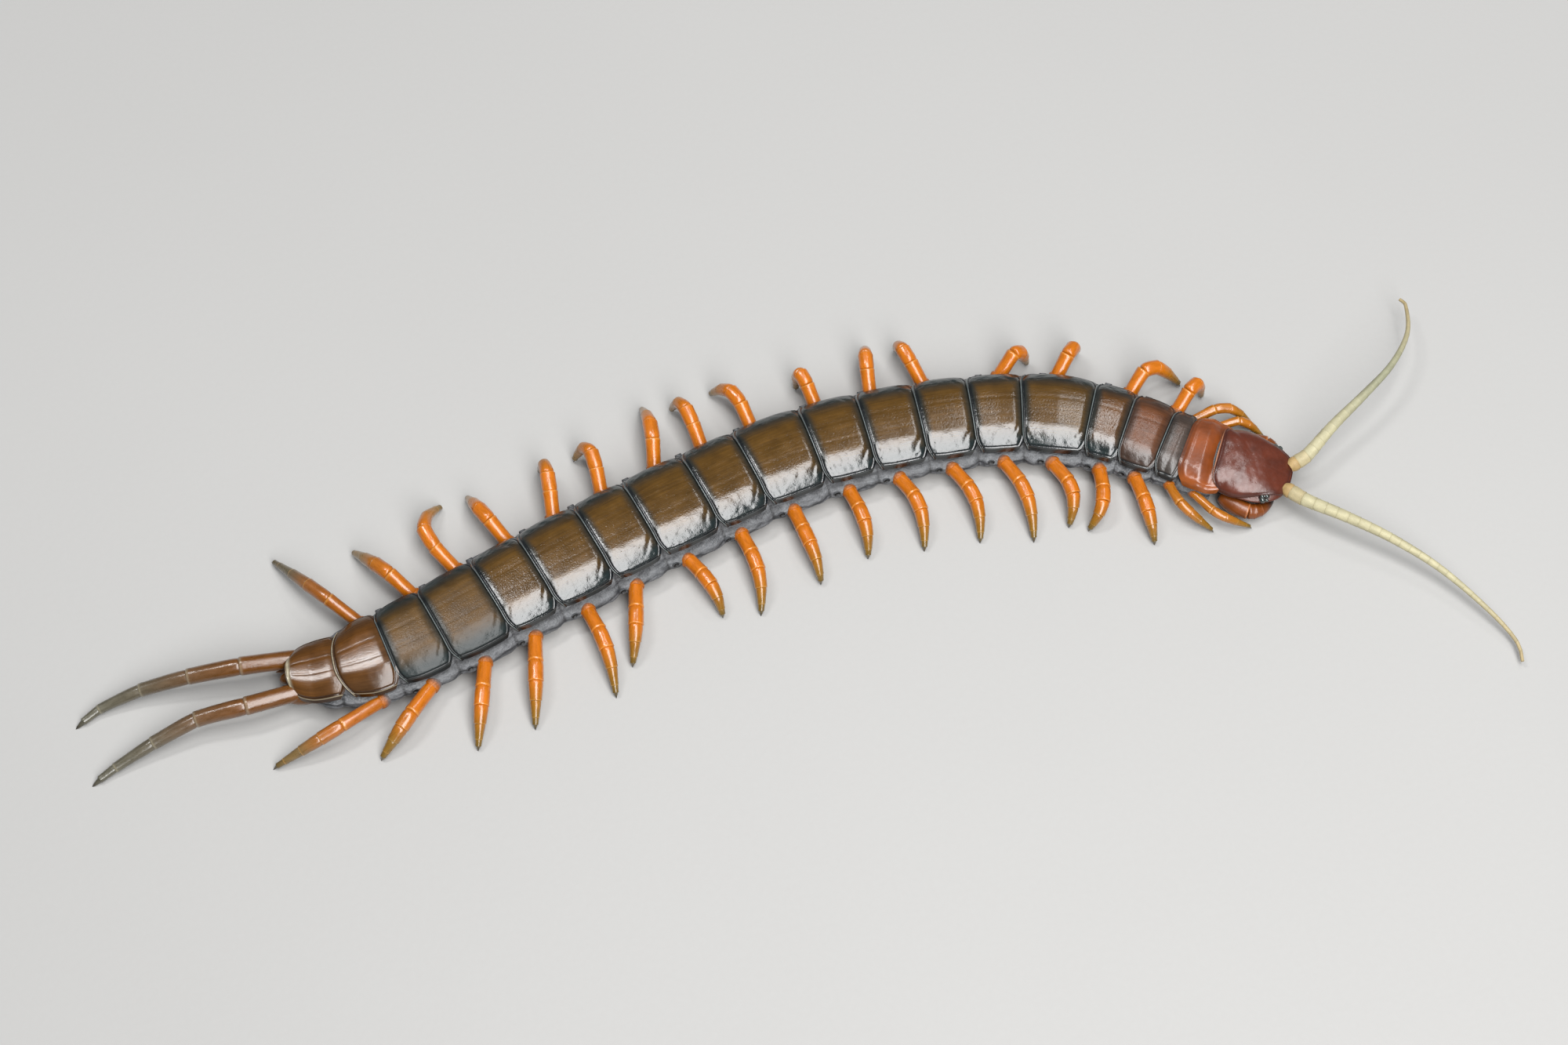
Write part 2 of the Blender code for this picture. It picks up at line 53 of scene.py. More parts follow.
# Back plates from the neck to the tail: length, greatest width, heading in degrees
PLATES = [
    (6.1, 14.2, -30.0), (3.9, 13.3, -36.5), (6.8, 14.2, -34.5), (6.4, 14.6, -30.5),
    (11.8, 15.3, -19.0), (8.7, 15.1, -8.5), (9.0, 15.5, -3.5), (9.5, 15.7, -0.5),
    (9.6, 16.0, 3.5), (11.4, 16.2, 10.5), (9.5, 16.3, 15.5), (11.0, 16.5, 15.0),
    (9.2, 16.5, 17.0), (10.7, 16.5, 17.0), (8.9, 16.2, 18.5), (10.3, 15.9, 18.5),
    (8.8, 15.3, 15.0), (8.8, 14.3, 7.0), (8.2, 11.8, -4.0),
]
REAR_SHARE = {17: 0.90, 18: 0.80}      # of the width, where it isn't USUAL_REAR_SHARE
USUAL_REAR_SHARE = 0.94
BELLY = 0.9
HEIGHT_SHARE = 0.5
RIM_HEIGHT = 0.635
FLANK_OUT = 1.2
FLANK_SHARE = {1: 0.0, 2: 0.3, 3: 0.7, 17: 0.8, 18: 0.5, 19: 0.0}
FRONT_STEP = {1: (1.1, 3.2), 18: (0.3, 1.6), 19: (0.3, 1.6)}    # how low a plate's front lies, how far back
USUAL_FRONT_STEP = (0.55, 1.8)

HEAD_LENGTH = 12.2
HEAD_WIDTH = 13.2
HEAD_HEADING = -30.0
HEAD_TOP = 7.8
HEAD_UNDER = 3.3
HEAD_SPOKES = 160       # points round the head plate's outline

# One leg: share along its plate, knee forward, knee out, foot forward, foot out
LEGS = {"right": [
    (0.52, 4.9, 3.2, 11.1, 1.5), (0.20, 3.1, 3.8, 9.7, 4.0), (0.40, 4.5, 6.3, 7.0, 9.7),
    (0.40, 3.1, 7.8, 1.1, 11.1), (0.50, 4.7, 6.7, 3.6, 11.3), (0.45, 3.9, 8.0, 3.8, 15.0),
    (0.55, 3.5, 8.1, 2.3, 14.1), (0.60, 2.7, 7.6, 1.2, 13.8), (0.60, 1.0, 8.5, -0.4, 12.6),
    (0.65, -0.3, 11.5, -1.0, 14.1), (0.70, -0.4, 9.6, -3.6, 14.6), (0.65, 1.4, 8.4, 0.7, 11.8),
    (0.70, -4.2, 8.9, -7.1, 12.4), (0.60, -0.3, 9.3, -3.0, 16.0), (0.65, -4.0, 8.5, -7.7, 14.2),
    (0.60, -4.4, 7.9, -8.1, 12.8), (0.55, -6.4, 4.8, -12.6, 7.5), (0.40, -8.3, 3.0, -20.2, 4.2),
], "left": [
    (0.42, 4.2, 2.5, 8.4, 2.0), (0.33, 4.9, 5.4, 10.2, 4.6), (0.05, 1.4, 6.5, 2.7, 6.5),
    (0.25, 1.6, 6.9, 7.7, 6.9), (0.54, 2.5, 5.9, 3.4, 8.0), (0.38, 3.7, 4.9, 5.6, 4.9),
    (0.75, -2.9, 8.2, -2.8, 10.1), (0.70, 0.7, 8.1, 1.7, 10.4), (0.65, -0.9, 7.9, -1.7, 6.6),
    (0.65, -0.2, 8.2, -3.3, 11.2), (0.50, 1.2, 10.3, -0.6, 11.3), (0.40, 3.2, 7.4, 4.1, 14.0),
    (0.35, 3.1, 10.4, -0.5, 10.4), (0.30, 4.1, 10.8, 2.7, 11.2), (0.13, -1.6, 6.6, -1.3, 13.4),
    (0.20, -3.1, 11.1, 4.3, 14.2), (0.05, -2.6, 6.0, -5.0, 14.5), (0.30, -4.9, 6.6, -10.2, 18.5),
]}
ROOT_HEIGHT = 3.3
ROOT_SUNK = 0.4
KNEE_HEIGHTS = {"right": 4.8, "left": 7.4}
LOW_KNEES = {"left": {1: 4.4, 2: 5.6}, "right": {1: 4.2}}
LEG_RADIUS = 1.25
FOOT_DROP = 0.5
KNEE_PULL = 0.8
LEG_GIRTH = {1: 0.64, 2: 0.72, 18: 0.92}
LEG_RINGS = [(0.0, 0.98), (0.17, 1.0), (0.30, 1.05), (0.42, 1.04), (0.52, 0.97), (0.64, 0.86),
             (0.76, 0.68), (0.90, 0.47), (1.0, 0.33)]
LEG_JOINTS = [0.0, 0.22, 0.46, 0.68, 0.87, 0.95]
CLAW_START = 0.93
LEG_CLAW = [0.40, 0.36, 0.31, 0.26, 0.21, 0.16, 0.11, 0.06, 0.02]
SOCKET = [(-1.6, 0.9), (-0.6, 1.08), (0.0, 1.14), (0.35, 1.12), (0.55, 1.04), (0.5, 0.9)]

TRAILING = {
    "right": [(-7.0, -3.9, 4.8), (-14.9, -3.9, 4.0), (-22.7, -5.8, 2.5), (-29.4, -8.1, 1.2)],
    "left": [(-7.0, 3.4, 4.8), (-14.9, 3.9, 4.0), (-23.6, 4.0, 2.5), (-30.4, 3.0, 1.2)],
}
TRAILING_TIPS = {"right": (-34.1, -10.3), "left": (-35.5, 0.5)}
TRAILING_ROOT = (3.1, 4.3)
TRAILING_RADIUS = 1.5
TRAILING_RINGS = [(0.0, 1.02), (0.12, 1.03), (0.235, 0.98), (0.33, 0.94), (0.45, 0.86), (0.56, 0.82),
                  (0.67, 0.74), (0.75, 0.66), (0.85, 0.56), (1.0, 0.34)]
TRAILING_JOINTS = [0.0, 0.167, 0.417, 0.653, 0.868, 0.955]
TRAILING_CLAW = [(0.0, 0.56), (0.3, 0.50), (0.55, 0.40), (0.78, 0.27), (0.92, 0.14), (1.0, 0.03)]
# Spines of a trailing leg: share along it, turn round it, length
TRAILING_SPINES = [(0.03, -0.2, 0.4), (0.06, -0.9, 0.4), (0.09, -0.5, 0.4), (0.12, -1.1, 0.4),
                   (0.15, 0.1, 0.5)]

FEELERS = {
    "right": [(86.8, -5.6, 5.5), (92.6, -10.5, 5.8), (99.0, -16.0, 5.2), (105.2, -22.7, 4.2),
              (110.8, -31.1, 2.9), (113.7, -37.0, 1.8), (113.6, -40.6, 1.3)],
    "left": [(89.5, 2.9, 5.5), (95.0, 6.7, 6.8), (101.9, 11.0, 7.6), (108.4, 15.7, 7.4),
             (113.4, 21.7, 6.4), (115.5, 28.0, 4.8), (115.1, 29.8, 4.2)],
}
FEELER_ROOT = (1.95, 4.7)
FEELER_RADIUS = 1.15
FEELER_TIP = 0.28
FEELER_ARTICLES = 26

# Poison claw: forward of the neck, out, height, radius
CLAW_PATH = [(1.7, 5.4, 2.3, 1.2), (3.0, 6.6, 2.4, 1.4), (4.8, 7.0, 2.4, 1.45), (6.4, 6.9, 2.3, 1.3),
             (7.8, 6.3, 2.05, 1.2), (9.0, 5.1, 1.75, 0.95), (9.8, 3.5, 1.5, 0.65), (10.1, 1.9, 1.4, 0.25)]
CLAW_PLATE = (5.2, 4.6, 3.0)
CLAW_PLATE_OUTLINE = [(0, 0.80), (0.05, 0.95), (0.3, 1.0), (0.62, 0.80), (0.88, 0.60), (0.97, 0.50),
                      (1.0, 0.40)]
PALP = [(5.8, 2.6, 2.9), (7.6, 3.1, 2.75), (9.4, 2.5, 2.7), (10.8, 1.2, 2.8)]
EYE = (8.5, 4.9, 4.8)
EYE_LOOKS = (0.35, 0.75, 0.55)
OCELLI = [(0.42, 0.36, 0.34), (-0.40, 0.38, 0.36), (0.40, -0.42, 0.30), (-0.34, -0.30, 0.50)]

# Breathing holes
SPIRACLE = [(1.3, -0.5), (1.25, 0.0), (1.12, 0.12), (1.0, 0.11), (0.8, 0.0), (0.5, -0.06)]    # size, rise
SPIRACLE_HALF = (0.5, 0.3)
SPIRACLE_BEHIND = 2.5   # how far each lies behind its leg
SPIRACLE_HEIGHT = 4.0

SIDES = {"right": -1, "left": 1}        # towards the animal's left
SHARP_FROM = 50         # degrees between two faces that show an edge
UP = np.array([0.0, 0.0, 1.0])
WAVE_COUNT = 28         # waves summed for one seeded unevenness

# Back plate shells
SHELL = 0.32            # thickness of a back plate
OVERLAP = 0.45          # how far each plate reaches over the next
TUCK = 0.35             # how far its front lies under the one before
DOME_SLOPES = [(0.0, 0.0), (0.42, 5.0), (0.955, 46.0), (0.963, 74.0), (1.0, 77.0)]    # half width, degrees
REAR_CORNER = {1: (2.0, 3.0), 18: (2.6, 6.0), 19: (1.0, 3.0)}    # how far it falls back, over what reach
USUAL_REAR_CORNER = (1.5, 2.4)
FRONT_CORNER_REACH = 2.8
ACROSS = 104            # cells across a plate
ALONG = 52              # cells along it

# Camera, in the same frame
CAMERA_TARGET = (3.47, 12.16, 0.0)
CAMERA_AZIMUTH = -13.0
CAMERA_ELEVATION = 62.0
CAMERA_DISTANCE = 518.5
CAMERA_LENS = 70.0

DEEPER = 0.72           # darkens all colours for the strong studio light
LIGHT_DISTANCE = 740
# Softboxes: target, lean in degrees, size, power
SOFTBOXES = {
    "key_softbox": ((115, 12, 0), 26.5, (370, 1080), 11.8),
    "head_softbox": ((310, 325, 0), 0, (110, 170), 0.65),
    "tail_softbox": ((-232, 262, 0), 0, (265, 110), 2.1),
}
SKY = (0.85, 0.91, 1.0, 1.0)
SKY_STRENGTH = 0.17
FLOOR_REACH = 4000
FLOOR_GREYS = (0.36, 0.355, 0.345, 1.0), (0.39, 0.385, 0.375, 1.0)


def shade(red, green, blue):
    """Scene colour of a screen colour given from 0 to 255."""
    c = np.array([red, green, blue]) / 255
    return DEEPER * np.where(c <= 0.04045, c / 12.92, ((c + 0.055) / 1.055) ** 2.4)


OLIVE = shade(88, 60, 10)
TEAL = shade(26, 37, 37)
BEAD = shade(12, 17, 19)
# Painted highlight along the ridge of a back plate's rear rim and along its side bead
RIM_HIGHLIGHT = shade(150, 160, 158)
FIRST_PLATE = shade(138, 70, 30)
FIRST_PLATE_EDGE = shade(176, 92, 26)
SECOND_PLATE = shade(84, 66, 56)
THIRD_PLATE = shade(104, 58, 24)
TAIL_BROWN = shade(98, 58, 4)
TAIL_RIM = shade(186, 176, 150)
FLANK_GREY = shade(108, 110, 113)
FLANK_DARK = shade(56, 58, 62)
BELLY_TAN = shade(150, 128, 92)
HEAD_RED = shade(98, 44, 26)
HEAD_DARK = shade(60, 24, 16)
# Painted highlight on the bead of the head plate's rear rim
HEAD_RIM_HIGHLIGHT = shade(200, 140, 104)
LEG_ORANGE = shade(208, 114, 8)
LEG_PALE = shade(240, 176, 84)
LEG_OLIVE = shade(142, 102, 20)
LEG_TIP = shade(98, 80, 32)
FRONT_AMBER = shade(184, 110, 20)
TAIL_LEG = shade(112, 66, 12)
TAIL_LEG_GREY = shade(96, 92, 76)
CLAW_DARK = shade(44, 34, 26)
FEELER_CREAM = shade(202, 194, 156)
FEELER_AMBER = shade(190, 142, 62)
FEELER_GREEN = shade(148, 150, 124)
FANG_BROWN = shade(126, 64, 16)
FANG_DARK = shade(30, 14, 10)
FANG_LIP = shade(206, 130, 76)
EYE_GREEN = shade(46, 56, 52)


def mix(a, b, share):
    share = np.asarray(share)[..., None]
    return a * (1 - share) + b * share


def smooth(x, low, high):
    t = np.clip((np.asarray(x) - low) / (high - low), 0, 1)
    return t * t * (3 - 2 * t)


def bell(x, middle, width):
    return np.exp(-((x - middle) / width) ** 2)


def unit(v):
    return v / np.linalg.norm(v, axis=-1, keepdims=True)


def stack(*parts):
    """Numbers or arrays side by side along a new last axis."""
    return np.stack(np.broadcast_arrays(*parts), axis=-1)


def run_along(points):
    """Distance along a line from its first point to each."""
    return np.concatenate([[0], np.cumsum(np.linalg.norm(np.diff(points, axis=0), axis=1))])


def circle(count):
    """Angles evenly spread round a circle."""
    return np.linspace(0, 2 * math.pi, count, endpoint=False)


def waves(points, finest, seed):
    """Smooth seeded unevenness, about -1 to 1; finest is its shortest wave in millimetres."""
    rng = np.random.default_rng(seed)
    total = np.zeros(points.shape[:-1])
    for _ in range(WAVE_COUNT):
        direction = unit(rng.normal(size=3))
        length = finest * rng.uniform(1.0, 3.0)
        total += np.sin(points @ direction * (2 * math.pi / length) + rng.uniform(0, 2 * math.pi))
    return total / math.sqrt(WAVE_COUNT)


def body_line():
    """Stations, headings and plan of the line that the body lies on."""
    step = 0.1
    ends = np.concatenate([[0.0], np.cumsum([p[0] for p in PLATES])])
    middles = (ends[1:] + ends[:-1]) / 2
    stations = np.arange(-20.0, ends[-1] + 20.0, step)
    turns = [HEAD_HEADING] + [p[2] for p in PLATES]
    heading = np.radians(np.interp(stations, [-HEAD_LENGTH / 2, *middles], turns))
    x = -np.cumsum(np.cos(heading)) * step
    y = -np.cumsum(np.sin(heading)) * step
    neck = np.argmin(abs(stations))
    return stations, heading, x - x[neck] + NECK[0], y - y[neck] + NECK[1], ends


STATIONS, HEADINGS, LINE_X, LINE_Y, PLATE_ENDS = body_line()
TAIL_END = PLATE_ENDS[-1]
MIDDLES = (PLATE_ENDS[1:] + PLATE_ENDS[:-1]) / 2
WIDTHS = np.array([p[1] for p in PLATES])


def on_plan(x, y, z):
    return np.array([x - ORIGIN[0], y - ORIGIN[1], z])


def axes(s):
    """Forward and left directions of the body at station s."""
    h = float(np.interp(s, STATIONS, HEADINGS))
    return np.array([math.cos(h), math.sin(h), 0]), np.array([-math.sin(h), math.cos(h), 0])


def place(s, u, z):
    """Points of the places (s, u, z), for numbers or arrays."""
    h = np.interp(s, STATIONS, HEADINGS)
    x = np.interp(s, STATIONS, LINE_X) - ORIGIN[0] - np.sin(h) * u
    y = np.interp(s, STATIONS, LINE_Y) - ORIGIN[1] + np.cos(h) * u
    return stack(x, y, z)


def body_width(s):
    return np.interp(s, MIDDLES, WIDTHS)


def flank_out(s):
    shares = [FLANK_SHARE.get(number, 1.0) for number in range(1, 20)]
    return FLANK_OUT * np.interp(s, MIDDLES, shares)


def add_object(name, data):
    thing = bpy.data.objects.new(name, data)
    bpy.context.scene.collection.objects.link(thing)
    return thing


class Skin:
    """Gathers closed rings of points into one mesh, with a colour and a grain place at each point."""

    def __init__(self):
        self.points, self.tints, self.flows, self.faces = [], [], [], []
        self.count = 0

    def add(self, rings, tint, flow=None):
        rings = np.asarray(rings, float)
        n, m, _ = rings.shape
        index = self.count + np.arange(n * m).reshape(n, m)
        after = np.roll(index, -1, axis=1)
        self.faces.append(stack(index[:-1], after[:-1], after[1:], index[1:]).reshape(-1, 4))
        half = m // 2
        for ring in (index[0][::-1], index[-1]):
            near, far = ring[:half], ring[half:][::-1]
            self.faces.append(stack(near[:-1], near[1:], far[1:], far[:-1]))
        self.points.append(rings.reshape(-1, 3))
        self.tints.append(np.broadcast_to(tint, (n, m, 3)).reshape(-1, 3))
        self.flows.append(np.broadcast_to(rings if flow is None else flow, (n, m, 3)).reshape(-1, 3))
        self.count += n * m

    def build(self, name, material, slot, *nodes):
        mesh = bpy.data.meshes.new(name)
        points = np.concatenate(self.points)
        mesh.from_pydata((points * MM).tolist(), [], np.concatenate(self.faces).tolist())
        bm = bmesh.new()
        bm.from_mesh(mesh)
        bmesh.ops.recalc_face_normals(bm, faces=bm.faces)
        bm.to_mesh(mesh)
        bm.free()
        tint = mesh.attributes.new("tint", "FLOAT_COLOR", "POINT")
        colours = np.ones((len(points), 4))
        colours[:, :3] = np.clip(np.concatenate(self.tints), 0, 1)
        tint.data.foreach_set("color", colours.ravel())
        flow = mesh.attributes.new("flow", "FLOAT_VECTOR", "POINT")
        flow.data.foreach_set("vector", np.concatenate(self.flows).ravel())
        mesh.shade_smooth()
        mesh.set_sharp_from_angle(angle=math.radians(SHARP_FROM))
        mesh.materials.append(material)
        thing = add_object(name, mesh)
        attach(thing, "root")
        if nodes:
            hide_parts(*nodes)


class Paint:
    """A material whose node tree is built up call by call."""

    def __init__(self, name, fixed):
        self.material = bpy.data.materials.new(name)
        self.material.use_nodes = True
        self.tree = self.material.node_tree
        self.shader = self.tree.nodes["Principled BSDF"]
        for socket, value in fixed.items():
            self.shader.inputs[socket].default_value = value

    def node(self, kind, inputs, out=0, **settings):
        node = self.tree.nodes.new("ShaderNode" + kind)
        for key, value in settings.items():
            setattr(node, key, value)
        for key, value in inputs.items():
            if isinstance(value, bpy.types.NodeSocket):
                self.tree.links.new(value, node.inputs[key])
            else:
                node.inputs[key].default_value = value
        return node.outputs[out]

    def flow(self, stretch):
        """The grain place, stretched, so that streaks follow the body."""
        spot = self.node("Attribute", {}, out=1, attribute_name="flow")
        return self.node("VectorMath", {0: spot, 1: stretch}, operation="MULTIPLY")

    def noise(self, stretch, detail=4.0, rough=0.55):
        return self.node("TexNoise", {"Vector": self.flow(stretch), "Scale": 1.0, "Detail": detail,
                                      "Roughness": rough})

    def cells(self, size):
        return self.node("TexVoronoi", {"Vector": self.flow(size), "Scale": 1.0})

    def spread(self, value, low, high, start=0.3, end=0.7):
        return self.node("MapRange", {"Value": value, 1: start, 2: end, 3: low, 4: high})

    def shaded(self, *factors):
        """The piece's own colour times each factor."""
        colour = self.node("Attribute", {}, attribute_name="tint")
        for factor in factors:
            colour = self.node("VectorMath", {0: colour, "Scale": factor}, operation="SCALE")
        return colour

    def sum(self, *parts):
        """Sum of values, each times its weight."""
        total = 0.0
        for value, weight in parts:
            total = self.node("Math", {0: value, 1: weight, 2: total}, operation="MULTIPLY_ADD")
        return total

    def finish(self, colour, rough, height, depth):
        """Links colour and roughness, and a bump of the given depth in millimetres."""
        bump = self.node("Bump", {"Height": height, "Strength": 1.0, "Distance": depth * MM})
        for value, socket in ((colour, "Base Color"), (rough, "Roughness"), (bump, "Normal"),
                              (bump, "Coat Normal")):
            self.tree.links.new(value, self.shader.inputs[socket])
        return self.material


def shell_paint(name, coat, gloss, ior=1.5, grain=0.035):
    """Back plates: fine lengthwise streaks and small pits under a thin gloss."""
    p = Paint(name, {"IOR": ior, "Coat Weight": coat, "Coat Roughness": 0.07, "Coat IOR": 1.5})
    streak = p.noise((0.16, 2.6, 0.6), 5.0, 0.6)
    hair = p.noise((0.3, 12.0, 1.0), 3.0, 0.6)
    cloud = p.noise((0.35, 0.35, 0.5), 3.0)
    pores = p.noise((3.2, 3.2, 3.2), 2.0)
    pits = p.spread(p.cells((1.5, 1.9, 1.9)), 0.0, 1.0, 0.05, 0.3)
    colour = p.shaded(p.spread(streak, 0.80, 1.24), p.spread(hair, 0.88, 1.12), p.spread(cloud, 0.80, 1.20))
    rough = p.spread(p.sum((streak, 0.5), (cloud, 0.5)), gloss, gloss + 0.12)
    return p.finish(colour, rough, p.sum((hair, 0.3), (pores, 0.6), (pits, 0.3)), grain)


def head_paint(name, coat, gloss):
    """Head, first plate and poison claws: smooth and glossy, with soft pits."""
    p = Paint(name, {"IOR": 1.5, "Coat Weight": coat, "Coat Roughness": gloss * 0.5, "Coat IOR": 1.5})
    cloud = p.noise((0.3, 0.3, 0.3), 4.0)
    fine = p.noise((2.2, 2.2, 2.2), 3.0)
    pits = p.spread(p.cells((1.1, 1.1, 1.1)), 0.0, 1.0, 0.0, 0.22)
    colour = p.shaded(p.spread(cloud, 0.75, 1.3), p.spread(pits, 0.85, 1.0, 0.0, 1.0))
    return p.finish(colour, p.spread(fine, gloss, gloss + 0.14), p.sum((fine, 0.6), (pits, 0.35)), 0.04)


def skin_paint():
    """Soft flanks: leathery folds and grains, a little moist."""
    p = Paint("flank_skin", {"IOR": 1.45, "Coat Weight": 0.2, "Coat Roughness": 0.25})
    folds = p.noise((0.9, 2.4, 2.4), 6.0, 0.62)
    grain = p.cells((3.4, 3.4, 3.4))
    blotch = p.noise((0.5, 0.8, 0.8), 3.0)
    colour = p.shaded(p.spread(folds, 0.70, 1.26), p.spread(blotch, 0.84, 1.16),
                      p.spread(grain, 1.08, 0.80, 0.0, 0.8))
    return p.finish(colour, p.spread(folds, 0.6, 0.38), p.sum((folds, 1.0), (grain, -0.35)), 0.14)


def leg_paint():
    """Legs: smooth glossy horn with faint lengthwise clouding and fine pits."""
    p = Paint("leg_horn", {"IOR": 1.5, "Coat Weight": 0.6, "Coat Roughness": 0.1, "Coat IOR": 1.5})
    cloud = p.noise((0.5, 1.3, 0.7), 4.0)
    fine = p.noise((4.0, 6.0, 1.0), 3.0)
    colour = p.shaded(p.spread(cloud, 0.82, 1.14), p.spread(fine, 0.92, 1.08))
    return p.finish(colour, p.spread(cloud, 0.22, 0.36), p.sum((fine, 0.3), (cloud, 1.0)), 0.05)


def feeler_paint():
    """Feelers: matt, pale and finely downy."""
    p = Paint("feeler_down", {"IOR": 1.45, "Coat Weight": 0.15, "Coat Roughness": 0.3})
    cloud = p.noise((0.4, 1.0, 1.0), 3.0)
    down = p.noise((7.0, 9.0, 3.0), 4.0, 0.7)
    colour = p.shaded(p.spread(cloud, 0.82, 1.14), p.spread(down, 0.84, 1.12))
    return p.finish(colour, p.spread(down, 0.42, 0.62), down, 0.05)


def eye_paint():
    """Eyes: dark glass with a faint inner bloom."""
    p = Paint("eye_glass", {"IOR": 1.5, "Coat Weight": 1.0, "Coat Roughness": 0.03})
    bloom = p.noise((2.5, 2.5, 2.5), 2.0)
    return p.finish(p.shaded(p.spread(bloom, 0.6, 1.4)), p.spread(bloom, 0.05, 0.15), bloom, 0.01)


def floor_paint():
    """Floor: pale and matt, with a faint cloud."""
    p = Paint("pale_floor", {"IOR": 1.4})
    spot = p.node("TexCoord", {}, out=3)
    wide = p.node("TexNoise", {"Vector": spot, "Scale": 6.0, "Detail": 3.0})
    fine = p.node("TexNoise", {"Vector": spot, "Scale": 900.0, "Detail": 2.0})
    dark, light = FLOOR_GREYS
    colour = p.node("Mix", {0: wide, 6: dark, 7: light}, out=2, data_type="RGBA")
    return p.finish(colour, p.spread(fine, 0.75, 0.9), fine, 0.02)


def edge_spacing(count, crowding):
    """Shares from 0 to 1 that crowd towards both ends."""
    t = np.linspace(0, 1, count + 1)
    return t - crowding * np.sin(2 * math.pi * t) / (2 * math.pi)


def dome_profile():
    """Height shares over the half width of a plate: flat on top, then a slanting side."""
    places, degrees = zip(*DOME_SLOPES)
    c = np.linspace(0, 1, 801)
    slope = np.tan(np.radians(np.interp(c, places, degrees)))
    drop = np.concatenate([[0], np.cumsum((slope[1:] + slope[:-1]) / 2)])
    return c, 1 - drop / drop[-1]


DOME = dome_profile()


def dome_share(c):
    return np.interp(np.abs(c), *DOME)


def dome_columns():
    """Shares of the half width across a plate, left to right, evenly spread over its arc."""
    c = np.cos(np.linspace(0, math.pi, 4001))
    typical_rise = 0.42
    run = run_along(stack(c, typical_rise * dome_share(c)))
    return np.interp(edge_spacing(ACROSS, 0.6) * run[-1], run, c)


COLUMNS = dome_columns()


def plate_half(s, number):
    """Half width of a back plate at stations s."""
    share = (s - PLATE_ENDS[number - 1]) / PLATES[number - 1][0]
    if number == 19:
        closing = np.clip((share - 0.1) / 0.9, 0, 1.04) * 0.955
        return 0.44 * body_width(PLATE_ENDS[18]) * (1 - closing ** 3.0) ** 0.5
    rear = REAR_SHARE.get(number, USUAL_REAR_SHARE)
    widest = 0.62 if number < 18 else 0.35
    ahead = 1 - 0.06 * np.clip(1 - share / 0.35, 0, 1.3) ** 2
    behind = 1 - (1 - rear) * np.clip((share - widest) / (1 - widest), 0, 1.2) ** 1.7
    return body_width(s) / 2 * ahead * behind


def plate_top(s, number):
    """Heights of the crown and of the side rim of a back plate at stations s."""
    start, end = PLATE_ENDS[number - 1], PLATE_ENDS[number]
    step, behind = FRONT_STEP.get(number, USUAL_FRONT_STEP)
    lift = -step * (1 - smooth(s - start, behind - 2.3, behind)) - 0.12 * smooth(s, end - 1.0, end + 0.5)
    crown = BELLY + HEIGHT_SHARE * body_width(s)
    return crown + lift - 0.1, RIM_HEIGHT * crown + 0.4 * lift


def plate_tint(number, side_mm, front_mm, rear_mm):
    """Colour over a back plate from the distances to its edges."""
    middle = {1: FIRST_PLATE, 2: SECOND_PLATE, 3: THIRD_PLATE, 4: mix(THIRD_PLATE, OLIVE, 0.6),
              18: TAIL_BROWN, 19: TAIL_BROWN}.get(number, OLIVE)
    strength = {1: 0.12, 2: 0.6, 3: 0.7, 18: 0.4, 19: 0.25}.get(number, 1.0)
    dark = np.maximum(1 - smooth(side_mm, 2.2, 6.0), 0.9 * (1 - smooth(front_mm, 0.6, 2.7)))
    dark = np.maximum(dark, 0.9 * (1 - smooth(rear_mm, 0.8, 2.2)))
    tint = mix(middle, TEAL, dark * strength)
    pale_rim = number in (1, 18, 19)
    slim = 0.6 if number <= 4 else 1.0
    # Dark band round the edges: partly the rim's own dark colour, partly painted shade on the steep outer
    # side, in the groove inside the rim and under the overlapping plate in front.
    bead = np.maximum(1 - smooth(side_mm, 1.25, 1.5), 1 - smooth(rear_mm, 0.65 * slim, 0.95 * slim))
    bead = np.maximum(bead, 1 - smooth(front_mm, 0.55 * slim, 0.95 * slim))
    tint = mix(tint, middle * 0.3 if pale_rim else BEAD, (0.6 if number == 1 else 0.92) * bead)
    if number == 1:
        return mix(tint, FIRST_PLATE_EDGE, 0.5 * (1 - smooth(side_mm, 0.8, 3.2)))
    # Thin pale line along the rear ridge and the side bead: a painted highlight on most plates, and the pale
    # rim's own colour on plates 18 and 19.
    width = {18: 0.08, 19: 0.3}.get(number, 0.06)
    light = np.maximum(bell(rear_mm, width * 1.4 + 0.1, width) * smooth(side_mm, 0.1, 0.5),
                       bell(side_mm, 0.85, 0.08) * (0.9 if pale_rim else 0.3))
    return mix(tint, TAIL_RIM if pale_rim else RIM_HIGHLIGHT, light * (0.85 if pale_rim else 0.6))


def corner_drop(inset, reach):
    """Share by which an edge falls back at a rounded corner, inset from the side."""
    return 1 - np.sqrt(1 - 0.97 * np.clip(1 - inset / reach, 0, 1) ** 2)


def plate_span(number, half):
    """Stations of a back plate's front and rear edge over its columns."""
    inset = half * (1 - np.abs(COLUMNS))
    rear_drop, rear_reach = REAR_CORNER.get(number, USUAL_REAR_CORNER)
    front_drop = 0.7 if number == 1 else min(1.9, 0.26 * PLATES[number - 1][0])
    overlap = 0.1 if number == 19 else OVERLAP
    tuck = 1.2 if number in (1, 19) else TUCK
    front = PLATE_ENDS[number - 1] - tuck + front_drop * corner_drop(inset, FRONT_CORNER_REACH)
    return front, PLATE_ENDS[number] + overlap - rear_drop * corner_drop(inset, rear_reach)


